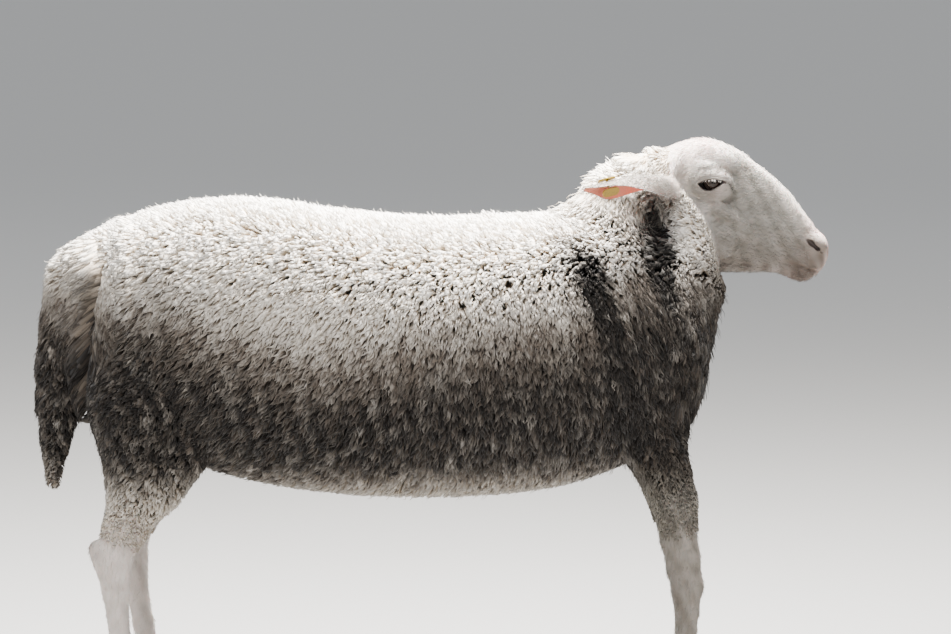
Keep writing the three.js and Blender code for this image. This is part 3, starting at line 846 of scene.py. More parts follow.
def net(axes: tuple[Array, Array, Array], values: Array) -> Surface:
    """The surface where a field sampled on a grid passes through nought.

    Each cell it passes through holds one point, the mean of where it crosses the cell's edges,
    and two triangles join the four cells round each crossed edge.

    Args:
        axes: The grid's places along x, y and z.
        values: The field at its crossings.

    Returns:
        The points and the triangles.
    """
    inside = values < 0
    corners = np.array(np.meshgrid(*[(0, 1)] * 3, indexing="ij")).reshape(3, 8).T
    shape = np.array(inside.shape) - 1
    votes = np.zeros(shape, np.int8)
    for i, j, k in corners:
        votes += inside[i : i + shape[0], j : j + shape[1], k : k + shape[2]]
    cells = np.argwhere((votes > 0) & (votes < 8))
    number = np.full(shape, -1, np.int32)
    number[tuple(cells.T)] = np.arange(len(cells))
    at = values[tuple((cells[:, None, :] + corners).transpose(2, 0, 1))].astype(float)
    total, count = np.zeros((len(cells), 3)), np.zeros((len(cells), 1))
    for a in range(8):
        for bit in (4, 2, 1):
            b = a | bit
            if b == a:
                continue
            crossed = (at[:, a] < 0) != (at[:, b] < 0)
            share = np.where(crossed, at[:, a] / np.where(crossed, at[:, a] - at[:, b], 1), 0)
            place = corners[a] + share[:, None] * (corners[b] - corners[a])
            total += place * crossed[:, None]
            count += crossed[:, None]
    within = total / count
    low = np.stack([axis[c] for axis, c in zip(axes, cells.T)], 1)
    high = np.stack([axis[c + 1] for axis, c in zip(axes, cells.T)], 1)
    faces = []
    for axis in range(3):
        ahead = np.roll(inside, -1, axis)
        crossed = inside != ahead
        crossed[(slice(None),) * axis + (-1,)] = False
        found = np.argwhere(crossed)
        one, two = np.eye(3, dtype=int)[(axis + 1) % 3], np.eye(3, dtype=int)[(axis + 2) % 3]
        around = [found - one - two, found - two, found, found - one]
        quads = np.stack([number[tuple(cell.T)] for cell in around], 1)
        outward = inside[tuple(found.T)]
        quads[~outward] = quads[~outward][:, ::-1]
        faces += [quads[:, [0, 1, 2]], quads[:, [0, 2, 3]]]
    return low + within * (high - low), np.concatenate(faces)


# Ears: the midline of each as if on the right, and half widths and depths of the cup along it.
EAR_LINES = {
    RIGHT: table(
        (344, -36, 787), (318, -74, 792), (290, -101, 793.5), (254, -125, 798), (200, -142, 803.5)
    ),
    LEFT: table(
        (344, -36, 787), (320, -76, 795), (300, -108, 796), (276, -141, 789), (248, -172, 778)
    ),
}
EAR_STUMP = np.array([13, 9]) * MM  # the stump's radii
EAR_PLACES = np.linspace(0, 1, 6)
EAR_HALF_WIDTH = Curve(EAR_PLACES, np.array([14, 20, 23, 25, 22, 12]) * MM)
EAR_CUP = Curve(EAR_PLACES, np.array([15, 23, 25, 23, 14, 3]) * MM)
EAR_THICKNESS = 3.2 * MM
EAR_TIP = 4 * MM  # how far its point stands past its last ring
EAR_BACKS = np.array([(-0.1, -0.5, 0.85), (0, 0.6, 0.8)])  # which way its back faces, root and tip
EAR_HAIR_ROOM = 6e-6  # the area for each tuft of its hair, in square metres
NO_ROOM = 1e3  # an area so large that nothing grows there


def tube(rings: Array, first: Array, last: Array) -> Surface:
    """A closed surface from rings of points and a point at each end.

    Args:
        rings: The rings, which turn left as seen from the last point.
        first, last: The points that close the first and the last ring.

    Returns:
        The points and the triangles.
    """
    count, sides = rings.shape[:2]
    k = np.arange(sides)
    after = (k + 1) % sides
    start = np.arange(count - 1)[:, None] * sides
    a, b = start + k, start + after
    walls = [np.stack([a, b, b + sides], -1), np.stack([a, b + sides, a + sides], -1)]
    end, size = (count - 1) * sides, count * sides
    caps = [
        np.stack([np.full(sides, size), after, k], -1),
        np.stack([np.full(sides, size + 1), end + k, end + after], -1),
    ]
    triangles = np.concatenate([part.reshape(-1, 3) for part in walls + caps])
    return np.concatenate([rings.reshape(-1, 3), first[None], last[None]]), triangles


@dataclass(frozen=True)
class Ear:
    """One ear: a long leaf, cupped so that its hollow faces out and down."""

    side: int
    sides: int = 28
    lengths: int = 44

    def axes(self, s: Array) -> tuple[Array, Array, Array, Array]:
        """The ear's own axes, along a cubic fitted to its midline's points by chord length.

        Args:
            s: Shares along the ear.

        Returns:
            The middle there and the ways along, out of the back and across.
        """
        points = EAR_LINES[self.side]
        chords = np.linalg.norm(np.diff(points, axis=0), axis=1)
        at = np.append(0, np.cumsum(chords)) / chords.sum()
        cubics = [np.polynomial.Polynomial.fit(at, values, 3) for values in points.T]
        middle = np.stack([cubic(s) for cubic in cubics], -1)
        along = unit(np.stack([cubic.deriv()(s) for cubic in cubics], -1))
        back = EAR_BACKS[0] + (EAR_BACKS[1] - EAR_BACKS[0]) * ramp(s, 0.1, 0.9)[:, None]
        back = unit(in_plane(back, along))
        return middle, along, back, np.cross(along, back)

    def point(self, s: Array, u: Array, hollow: Array) -> Array:
        """Points on the ear.

        The back is an arch of height cup (1 - u^2), and the hollow lies under it by the wall,
        thickness sqrt(1 - u^2), with three soft ridges.

        Args:
            s: Share along the ear, for each ring.
            u: Share across it, from -1 to 1.
            hollow: 1 in the hollow and 0 on the back.

        Returns:
            The points, ring by ring.
        """
        middle, _, back, across = self.axes(s)
        s = s[:, None]
        inner = np.maximum(1 - u * u, 0)
        ridges = 0.8 * MM * np.cos(3 * np.pi * u) * inner * ramp(s, 0.95, 0.4) * hollow
        wall = EAR_THICKNESS * np.sqrt(inner) * hollow - ridges
        margin = (1 + 0.02 * np.sin(17 * s + 2 * u)) * (1 - 0.55 * ramp(s, 0.72, 1.0))
        height = EAR_CUP(s) * (1 - u * u) - wall
        out = middle[:, None] + across[:, None] * (u * EAR_HALF_WIDTH(s) * margin)[..., None]
        return (out + back[:, None] * height[..., None]) * (1, -self.side, 1)

    def shell(self) -> tuple[Array, Array, Array, Array]:
        """The ear's closed surface.

        Returns:
            Points, triangles, how far each point lies in the hollow, and its share along.
        """
        s = np.linspace(0.02, 0.985, self.lengths) ** 0.9
        steps = -np.cos(np.pi * np.arange(self.sides + 1) / self.sides)
        u = np.concatenate([steps, steps[1:-1][::-1]])
        hollow = np.repeat((0.0, 1.0), (self.sides + 1, self.sides - 1))
        rings = self.point(s, u[None, :], hollow[None, :])
        middle, along, _, _ = self.axes(np.ones(1))
        tip = (middle[0] + along[0] * EAR_TIP) * (1, -self.side, 1)
        points, triangles = tube(rings, rings[0].mean(0), tip)
        if self.side == LEFT:
            triangles = triangles[:, ::-1]
        inside = np.append(np.tile(hollow, len(s)), (0.5, 0.5))
        share = np.append(np.repeat(s, len(u)), (0, 1))
        return points, triangles, inside, share

    def roots(self) -> "Roots":
        """Where the ear's own hair grows.

        Returns:
            Roots on its back and round its edge, with hair that lies towards the tip.
        """
        points, triangles, hollow, share = self.shell()
        room = np.where((hollow > 0.9) | (share < 0.04), NO_ROOM, EAR_HAIR_ROOM)
        roots = Roots.sown(Body(points, triangles), np.full(len(points), 2 * MM), room, 6)
        _, along, _, _ = self.axes(np.full(1, 0.5))
        roots.way = np.broadcast_to(along[0] * (1, -self.side, 1), roots.points.shape)
        return roots


# ---- finishes


Term = "Socket | float | Colour"


def operator(operation: str, swapped: bool = False) -> Callable[["Socket", Term], "Socket"]:
    """An operator of Socket.

    Args:
        operation: What its node does.
        swapped: Whether the other term comes first.

    Returns:
        The method that adds the node.
    """

    def method(socket: "Socket", other: Term) -> "Socket":
        """One node that works on this and the other."""
        terms = (other, socket) if swapped else (socket, other)
        return socket.sum(operation, *terms)

    return method


class Socket:
    """A value or colour in a material, on which sums are done with operators."""

    def __init__(self, nodes: "Nodes", socket: bpy.types.NodeSocket) -> None:
        """Keeps the socket and the material it belongs to."""
        self.nodes, self.socket = nodes, socket

    def sum(self, operation: str, *terms: Term) -> "Socket":
        """One Math node, or a Vector Math node if any term is a colour or a vector.

        Args:
            operation: What it does.
            terms: What it works on.

        Returns:
            Its output.
        """
        vector = any(
            term.socket.type in ("RGBA", "VECTOR")
            if isinstance(term, Socket)
            else isinstance(term, tuple)
            for term in terms
        )
        if vector:
            terms = tuple((t,) * 3 if isinstance(t, (int, float)) else t for t in terms)
        kind = "ShaderNodeVectorMath" if vector else "ShaderNodeMath"
        return self.nodes.add(kind, {"operation": operation}, dict(enumerate(terms)))

    __add__, __radd__ = operator("ADD"), operator("ADD")
    __sub__, __rsub__ = operator("SUBTRACT"), operator("SUBTRACT", swapped=True)
    __mul__, __rmul__ = operator("MULTIPLY"), operator("MULTIPLY")
    __truediv__, __rtruediv__ = operator("DIVIDE"), operator("DIVIDE", swapped=True)
    __pow__ = operator("POWER")

    def ramp(self, start: float, end: float, low: float = 0, high: float = 1) -> "Socket":
        """From low at start to high at end, levelling off at both."""
        ends = {1: start, 2: end, 3: low, 4: high}
        kind = {"interpolation_type": "SMOOTHSTEP"}
        return self.nodes.add("ShaderNodeMapRange", kind, {0: self, **ends})


class Nodes:
    """One material's nodes round its Principled shader."""

    def __init__(self, name: str) -> None:
        """Makes the material with its shader and output.

        Args:
            name: The material's name.
        """
        self.material = bpy.data.materials.new(name)
        self.material.use_nodes = True
        self.tree = self.material.node_tree
        self.shader = self.tree.nodes["Principled BSDF"]

    def add(self, kind: str, settings: dict, inputs: dict, output: int = 0) -> Socket:
        """One node.

        Args:
            kind: The node's type.
            settings: Its properties by name.
            inputs: What feeds its inputs, by number or name: a Socket or a plain value.
            output: Which of its outputs is wanted.

        Returns:
            That output.
        """
        node = self.tree.nodes.new(kind)
        for name, value in settings.items():
            setattr(node, name, value)
        self.feed(node, inputs)
        return Socket(self, node.outputs[output])

    def feed(self, node: bpy.types.Node, inputs: dict) -> None:
        """Links or sets a node's inputs.

        Args:
            node: The node.
            inputs: A Socket or a plain value for each, by number or name.
        """
        for name, value in inputs.items():
            socket = node.inputs[name]
            if isinstance(value, Socket):
                self.tree.links.new(value.socket, socket)
            elif isinstance(value, tuple) and socket.type == "RGBA":
                socket.default_value = (*value, 1)
            else:
                socket.default_value = value

    def value(self, name: str, output: int = 2) -> Socket:
        """A mesh attribute as a number, or with output 1 as a vector."""
        return self.add("ShaderNodeAttribute", {"attribute_name": name}, {}, output)

    def place(self) -> Socket:
        """Where on the object a point is, in metres."""
        return self.add("ShaderNodeTexCoord", {}, {}, 3)

    def parts(self, vector: Socket) -> list[Socket]:
        """A vector's three values."""
        node = self.tree.nodes.new("ShaderNodeSeparateXYZ")
        self.feed(node, {0: vector})
        return [Socket(self, output) for output in node.outputs]

    def noise(self, vector: Socket, size: float, detail: float = 2) -> Socket:
        """Noise from 0 to 1 with lumps of about a size in the vector's units."""
        inputs = {"Vector": vector, "Scale": 1 / size, "Detail": detail}
        return self.add("ShaderNodeTexNoise", {}, inputs)

    def mix(self, share: "Socket | float", a: "Socket | Colour", b: "Socket | Colour") -> Socket:
        """Colour a turning to colour b as the share goes from 0 to 1."""
        return self.add("ShaderNodeMix", {"data_type": "RGBA"}, {0: share, 6: a, 7: b}, 2)

    def bump(self, height: Socket, depth: float, strength: float = 1.0) -> Socket:
        """A normal tilted by a height from 0 to 1 that stands for a depth in metres."""
        inputs = {"Height": height, "Distance": depth, "Strength": strength}
        return self.add("ShaderNodeBump", {}, inputs)

    def surface(self, **inputs: "Socket | float | Colour") -> Material:
        """Feeds the Principled shader and gives the finished material.

        Inputs are called by their own names, with underscores for spaces.
        """
        self.feed(self.shader, {name.replace("_", " "): value for name, value in inputs.items()})
        return self.material


@dataclass(frozen=True)
class CoatColours:
    """The colours that skin and coat share."""

    # dust and mud also serve as painted shade on the lower flank, the neck, the shoulder, the thigh
    # and by the tail
    dust: Colour = (0.105, 0.074, 0.053)
    mud: Colour = (0.012, 0.0095, 0.008)
    pink: Colour = (0.56, 0.27, 0.23)
    # olive grey: painted shade on the face's sides and on the ears
    olive: Colour = (0.16, 0.15, 0.122)

    def soiled_and_shaded(self, nodes: Nodes, clean: Socket) -> Socket:
        """Lays the mesh's blush, olive painted shade, and dust and mud, which carry painted shade
        too, over a colour.

        Args:
            nodes: The material's nodes.
            clean: The clean colour.

        Returns:
            The soiled and shaded colour.
        """
        colour = nodes.mix(nodes.value("blush") * 0.75, clean, self.pink)
        colour = nodes.mix(nodes.value("olive") * 0.95, colour, self.olive)
        colour = nodes.mix(nodes.value("dust") * 0.9, colour, self.dust)
        return nodes.mix(nodes.value("mud"), colour, self.mud)


@dataclass(frozen=True)
class WoolFinish(CoatColours):
    """Locks of wool, yellow with grease at the root and pale at the tip."""

    name: str = "wool"
    root: Colour = (0.76, 0.64, 0.50)
    tip: Colour = (0.87, 0.80, 0.70)
    bright: Colour = (0.97, 0.935, 0.88)

    def material(self) -> Material:
        """Makes the finish.

        Returns:
            Its material.
        """
        nodes = Nodes(self.name)
        along, tint = nodes.value("along"), nodes.value("tint")
        strand = nodes.add("ShaderNodeUVMap", {"uv_map": "Strand"}, {})
        fibres = nodes.noise(strand * (5.0, 0.8, 1.0), 0.35)
        colour = nodes.mix(along.ramp(0.35, 0.95), self.root, self.tip)
        colour = nodes.mix(tint * along.ramp(0.5, 1.0), colour, self.bright)
        colour = colour * (tint * 0.16 + 0.92) * fibres.ramp(0.2, 0.8, 0.86, 1.06)
        return nodes.surface(
            Base_Color=self.soiled_and_shaded(nodes, colour),
            Normal=nodes.bump(fibres, 0.4 * MM, 0.6),
            Roughness=0.92,
            Specular_IOR_Level=0.1,
            Sheen_Weight=0.08,
            Sheen_Roughness=0.6,
        )


@dataclass(frozen=True)
class HairFinish(CoatColours):
    """Short flat hair, thin tufts of it in one pale tone."""

    name: str = "hair"
    pale: Colour = (0.91, 0.86, 0.80)
    deep: Colour = (0.70, 0.60, 0.52)

    def material(self) -> Material:
        """Makes the finish.

        Returns:
            Its material.
        """
        nodes = Nodes(self.name)
        colour = nodes.mix(nodes.value("tint"), self.deep, self.pale)
        return nodes.surface(
            Base_Color=self.soiled_and_shaded(nodes, colour),
            Roughness=0.75,
            Specular_IOR_Level=0.3,
            Sheen_Weight=0.2,
        )


@dataclass(frozen=True)
class SkinFinish(CoatColours):
    """Skin under short white hair on the face, and greasy skin under the fleece, darker there as
    painted shade.
    """

    name: str = "skin"
    haired: Colour = (0.86, 0.79, 0.73)
    fleshy: Colour = (0.66, 0.42, 0.36)
    # greasy, and darker than the face as painted shade under the fleece
    greasy_and_shaded: Colour = (0.58, 0.46, 0.35)
    glow: Colour = (0.62, 0.20, 0.12)
    # dark lid edges, and painted shade in the eye's slit and the nostrils
    rim: Colour = (0.035, 0.024, 0.02)

    def material(self) -> Material:
        """Makes the finish.

        Returns:
            Its material.
        """
        nodes = Nodes(self.name)
        place = nodes.place()
        # Hairs: noise drawn out along the lie that the mesh carries.
        flow, dot = nodes.value("flow", 1), {"operation": "DOT_PRODUCT"}
        along = nodes.add("ShaderNodeVectorMath", dot, {0: place, 1: flow}, 1)
        hairs = nodes.noise(place - flow * (along * 0.82), 0.9 * MM, 1)
        patches = nodes.noise(place, 9 * MM, 3)
        colour = nodes.mix(hairs.ramp(0.3, 0.7, 0.0, 0.22), self.haired, self.fleshy)
        colour = nodes.mix(patches.ramp(0.45, 0.75, 0.0, 0.14), colour, self.fleshy)
        colour = nodes.mix(nodes.value("wool"), colour, self.greasy_and_shaded)
        colour = self.soiled_and_shaded(nodes, colour)
        colour = nodes.mix(nodes.value("hollow"), colour, self.glow)
        colour = nodes.mix(nodes.value("rim"), colour, self.rim)
        return nodes.surface(
            Base_Color=colour,
            Normal=nodes.bump(hairs * (1 - nodes.value("rim")), 0.5 * MM, 0.8),
            Roughness=nodes.value("rim").ramp(0, 1, 0.72, 0.5),
            Specular_IOR_Level=0.35,
            Subsurface_Weight=0.12,
            Subsurface_Scale=0.006,
        )


# ---- markings and lie


class Kept(Enum):
    """Where a mark is kept to."""

    EVERYWHERE = "everywhere"
    FLEECE = "fleece"  # fades out down the legs
    SIDES = "sides"  # leaves out the crest of the neck


@dataclass(frozen=True)
class Spot:
    """A soft spot seen from the side: a bell of the distance in units of its half sizes.

    Its middle x and z and its half sizes are in millimetres.
    """

    strength: float
    x: float
    z: float
    wide: float
    high: float
    kept: Kept = Kept.EVERYWHERE

    def at(self, points: Array) -> Array:
        """How strong it is at points."""
        u, v = (points[:, 0] / MM - self.x) / self.wide, (points[:, 2] / MM - self.z) / self.high
        return self.strength * np.exp(-(u * u + v * v))


@dataclass(frozen=True)
class Stroke:
    """A soft stroke seen from the side, along a line of x and z in millimetres and a share."""

    strength: float
    spread: float
    line: tuple[Triple, ...]
    kept: Kept = Kept.EVERYWHERE

    def at(self, points: Array) -> Array:
        """How strong it is at points."""
        rows = np.array(self.line) * (MM, MM, 1)
        return self.strength * near_line(rows, self.spread * MM, points[:, 0], points[:, 2])


FLEECE, SIDES = Kept.FLEECE, Kept.SIDES
# Marks of dust and of painted shade: dust with painted shade on the shoulder, the neck's edge and
# the thigh, dust on the tail, painted shade under the ear and over its root, dust with painted
# shade down the neck, and dust on knees and hocks.
DUST_AND_SHADE = (
    Stroke(0.95, 58, ((205, 690, 0.7), (235, 620, 1), (260, 520, 1.1), (270, 440, 1)), FLEECE),
    Stroke(0.9, 40, ((306, 765, 0.6), (310, 700, 0.9), (320, 620, 1.1), (320, 520, 1.1)), FLEECE),
    Spot(1.0, -435, 520, 88, 128, FLEECE),
    Spot(0.55, -505, 668, 30, 26),
    # painted shadow under the ear
    Spot(0.55, 284, 770, 42, 17, SIDES),
    # painted shade with dust down the neck
    Spot(0.52, 262, 712, 56, 56, SIDES),
    Spot(0.75, 286, 636, 60, 62, SIDES),
    # painted shade over the ear's root
    Spot(0.30, 345, 815, 18, 12),
    Spot(0.35, 340, 640, 40, 60),
    Spot(0.50, 372, 214, 22, 30),
    Spot(0.45, -480, 296, 22, 30),
)
# Marks of mud and of painted shade: mud with painted shade in the bands over the shoulder and
# behind the ear and on the thigh, and painted shade with mud along the tail's edge.
MUD_AND_SHADE = (
    Stroke(1.35, 22, ((184, 716, 0.4), (206, 684, 1), (226, 634, 1.1), (244, 580, 1))),
    Stroke(1.3, 50, ((232, 610, 0.5), (255, 540, 0.9), (268, 450, 1)), FLEECE),
    Stroke(1.4, 20, ((303, 776, 0.5), (305, 740, 0.9), (310, 690, 1), (322, 640, 0.8))),
    Stroke(0.9, 40, ((318, 640, 0.3), (322, 560, 0.8), (310, 460, 1)), FLEECE),
    # painted shade, with mud, in the crease between tail and thigh
    Stroke(1.05, 17, ((-500, 655, 0.6), (-496, 610, 1), (-491, 540, 1), (-486, 470, 0.8))),
    Spot(1.0, -430, 520, 72, 100, FLEECE),
)
SPECKS = Spot(0.9, 355, 600, 60, 110)  # where specks of mud are, under the throat
# The height at which the flank's darkening, dirt with painted shade, is half its full depth, along
# x, in millimetres.
SHADE_LINE = Curve(
    (-520, -421, -350, -208, -66, 5, 147, 225, 280, 400),
    (652, 646, 632, 590, 598, 614, 630, 658, 700, 704),
)
LUMPS, MOTTLE, SPECKLE = Waves(11, 60 * MM), Waves(12, 22 * MM), Waves(13, 8 * MM)


def soil_and_shade(points: Array, mottle: Array) -> tuple[Array, Array]:
    """How dark the coat is with dust and mud and with painted shade, alike on both flanks.

    Args:
        points: Places on the skin or in the coat.
        mottle: The middle noise there.

    Returns:
        Dust and mud, each carrying painted shade too, from 0 up to about 1.
    """
    x, y, z = points.T / MM
    outward, lumps, speckle = np.abs(y), LUMPS(points), SPECKLE(points)
    below = SHADE_LINE(x) - z
    woolly = ramp(z, 330, 440)
    kept = {
        Kept.EVERYWHERE: np.ones(len(x)),
        Kept.FLEECE: woolly,
        Kept.SIDES: ramp(outward, 25, 50),
    }
    dust = [
        # the lower flank darkens below the shade line: dust with painted shade
        0.95 * ramp(below, -66, 70) * woolly,
        0.72 * ramp(-x, 455, 505) * ramp(-z, -678, -606),
        0.34 * ramp(-z, -400, -250),
        0.70 * ramp(-z, -130, -45),
    ]
    dust = np.maximum.reduce(dust + [mark.at(points) * kept[mark.kept] for mark in DUST_AND_SHADE])
    dust = dust * (1 + 0.13 * lumps + 0.09 * mottle) + 0.04 * np.maximum(mottle, 0)
    mud = [
        # and darker still lower down: mud with painted shade
        0.88 * ramp(below, -16, 130) * woolly,
        0.70 * ramp(below, -15, 70) * ramp(-x, 300, 400) * woolly,
    ]
    mud = np.maximum.reduce(mud + [mark.at(points) * kept[mark.kept] for mark in MUD_AND_SHADE])
    # painted shade, with mud, in the crease between tail and thigh
    crease = bell(x + 502, 22) * ramp(outward, 48, 66) * ramp(-z, -685, -615) * ramp(z, 400, 470)
    mud = np.maximum(mud * (1 + 0.13 * mottle + 0.09 * speckle), 1.1 * crease)
    before_wool, _ = HEAD.into(points[:, 0], points[:, 2])
    specks = ramp(speckle + 0.4 * mottle, 1.25, 1.7) * ramp(before_wool / MM, 30, -20)
    return dust, np.maximum(mud, specks * SPECKS.at(points))


def face_tones(points: Array, mottle: Array) -> tuple[Array, Array]:
    """How flushed the hair is, and how dark with painted shade.

    Args:
        points: Places on the skin or in the coat.
        mottle: The middle noise there.

    Returns:
        Blush on muzzle, poll, lids and lips, and olive painted shade on the face's sides and the
        ears.
    """
    x, y, z = points.T / MM
    t, n = (place / MM for place in HEAD.into(points[:, 0], points[:, 2]))
    outward = np.abs(y)
    muzzle = ramp(t, 176, 212) * 0.62
    crown = 0.55 * bell(t - 6, 16) * bell(n - 62, 14) + 0.30 * bell(t + 12, 14) * bell(n - 40, 16)
    lids = 0.35 * bell(np.hypot(t - 43, n - 10), 17) * ramp(outward, 25, 40)
    lips = 0.5 * bell(mouth_height(t * MM, n * MM), 4 * MM) * ramp(t, 168, 195)
    blush = np.maximum.reduce([muzzle, crown, lids, lips]) * (1 + 0.15 * mottle)
    shaded = ramp(outward, 8, 27)
    # olive painted shade on the lower face and down the face's sides
    olive = np.maximum.reduce(
        [
            0.95 * bell(t - 58, 46) * ramp(-n, -10, 74),
            0.80 * bell(t - 130, 44) * ramp(-n, 10, 76),
            0.88 * bell(np.hypot(t - 26, n - 4), 40) * shaded,
            0.84 * ramp(t, 24, 70) * shaded,
        ]
    )
    olive = olive * ramp(t - FACE_EDGE(n * MM) / MM, -12, 14) * (1 + 0.05 * mottle)
    # painted shade on the ears
    on_ear = ramp(outward, 66, 90) * ramp(z, 765, 778) * ramp(x, 180, 215)
    return blush * ramp(x, 300, 345) * ramp(n, -118, -98), np.maximum(olive, 0.75 * on_ear)


def markings(points: Array) -> dict[str, Array]:
    """How far the coat is soiled, flushed or darkened by painted shade.

    Args:
        points: Places on the skin or in the coat.

    Returns:
        dust and mud, which carry painted shade too, blush, and olive painted shade, each from 0 to
        1.
    """
    mottle = MOTTLE(points)
    shares = (*soil_and_shade(points, mottle), *face_tones(points, mottle))
    return dict(zip(("dust", "mud", "blush", "olive"), (np.clip(s, 0, 1) for s in shares)))


# The lie of the coat on the flanks: how far back it runs for each step down, along x.
BACKWARD = Curve(
    np.array([-500, -350, -200, -60, 60, 180, 260, 340]) * MM,
    np.array([-0.45, -0.8, -0.75, -0.35, -0.12, -0.05, 0.08, 0.05]),
)


def lie(points: Array, normals: Array) -> Array:
    """Which way the coat lies: down and back over the body, back over the face, down the legs.

    Args:
        points: Places on the skin.
        normals: The skin's outward directions there.

    Returns:
        Unit vectors in the surface.
    """
    x, y, z = points.T
    t, n = HEAD.into(x, z)
    up = ramp(normals[:, 2], 0.45, 1.0)[:, None]
    outwards = np.clip(y / (90 * MM), -1, 1)
    flank = stacked(BACKWARD(x), 0, -1)
    over = stacked(-0.8, 0.9 * outwards, -0.3 * np.abs(outwards))
    way = unit(flank) * (1 - up) + unit(over) * up
    nose = HEAD.turn(stacked(-1, 0.35 * np.sign(y), -0.45 * ramp(t, 210 * MM, 60 * MM)))
    on_head = (ramp(t, -30 * MM, 5 * MM) * ramp(n, -118 * MM, -98 * MM))[:, None]
    way = way * (1 - on_head) + unit(nose) * on_head
    legs = ramp(-z, -430 * MM, -330 * MM)[:, None]
    way = way * (1 - legs) + np.array([-0.1, 0, -1]) * legs
    return unit(in_plane(way, normals))


# ---- pieces


def on_frame(thing: Thing, replaces: Iterable[str] = ()) -> None:
    """Makes a piece ride on the frame.

    Args:
        thing: The piece.
        replaces: The frame's nodes it stands for.
    """
    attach(thing, "root")
    if replaces:
        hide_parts(*replaces)


@dataclass
class Body:
    """Points and triangles of a piece, with the values each point carries."""

    points: Array
    triangles: Array
    values: dict[str, Array] = field(default_factory=dict)
    maps: dict[str, Array] = field(default_factory=dict)

    @classmethod
    def together(cls, bodies: Sequence["Body"]) -> "Body":
        """Several bodies as one.

        Args:
            bodies: The bodies, without maps; those that lack a value carry 0.

        Returns:
            One body that holds them all.
        """
        starts = np.cumsum([0] + [len(body.points) for body in bodies])
        values = {}
        for name in sorted({name for body in bodies for name in body.values}):
            carried = [body.values.get(name, np.zeros(len(body.points))) for body in bodies]
            values[name] = np.concatenate(carried)
        points = np.concatenate([body.points for body in bodies])
        moved = [body.triangles + start for body, start in zip(bodies, starts)]
        return cls(points, np.concatenate(moved), values)

    def normals(self) -> Array:
        """Outward directions.

        Returns:
            At each point, the sum of its triangles' cross products as a unit vector.
        """
        a, b, c = (self.points[corner] for corner in self.triangles.T)
        cross = np.cross(b - a, c - a)
        total = np.zeros_like(self.points)
        for corner in self.triangles.T:
            for axis in range(3):
                total[:, axis] += np.bincount(corner, cross[:, axis], len(self.points))
        return unit(total)

    def piece(
        self, name: str, material: Material, slot: str, replaces: Iterable[str] = ()
    ) -> None:
        """Makes the body an object that rides on the frame.

        Args:
            name: The piece's name.
            material: Its finish.
            slot: The record's material slot; not used.
            replaces: The frame's nodes it stands for.
        """
        mesh = bpy.data.meshes.new(name)
        mesh.vertices.add(len(self.points))
        mesh.vertices.foreach_set("co", self.points.astype(np.float32).ravel())
        mesh.loops.add(self.triangles.size)
        mesh.loops.foreach_set("vertex_index", self.triangles.astype(np.int32).ravel())
        mesh.polygons.add(len(self.triangles))
        starts = np.arange(0, self.triangles.size, 3, dtype=np.int32)
        mesh.polygons.foreach_set("loop_start", starts)
        mesh.polygons.foreach_set("use_smooth", np.full(len(starts), True))
        mesh.update(calc_edges=True)
        for label, values in self.values.items():
            kind, key = ("FLOAT", "value") if values.ndim == 1 else ("FLOAT_VECTOR", "vector")
            layer = mesh.attributes.new(label, kind, "POINT")
            layer.data.foreach_set(key, values.astype(np.float32).ravel())
        for label, corners in self.maps.items():
            layer = mesh.uv_layers.new(name=label)
            layer.data.foreach_set("uv", corners.astype(np.float32).ravel())
        mesh.materials.append(material)
        on_frame(in_scene(name, mesh), replaces)
        LOG.info("%s: %d triangles", name, len(self.triangles))


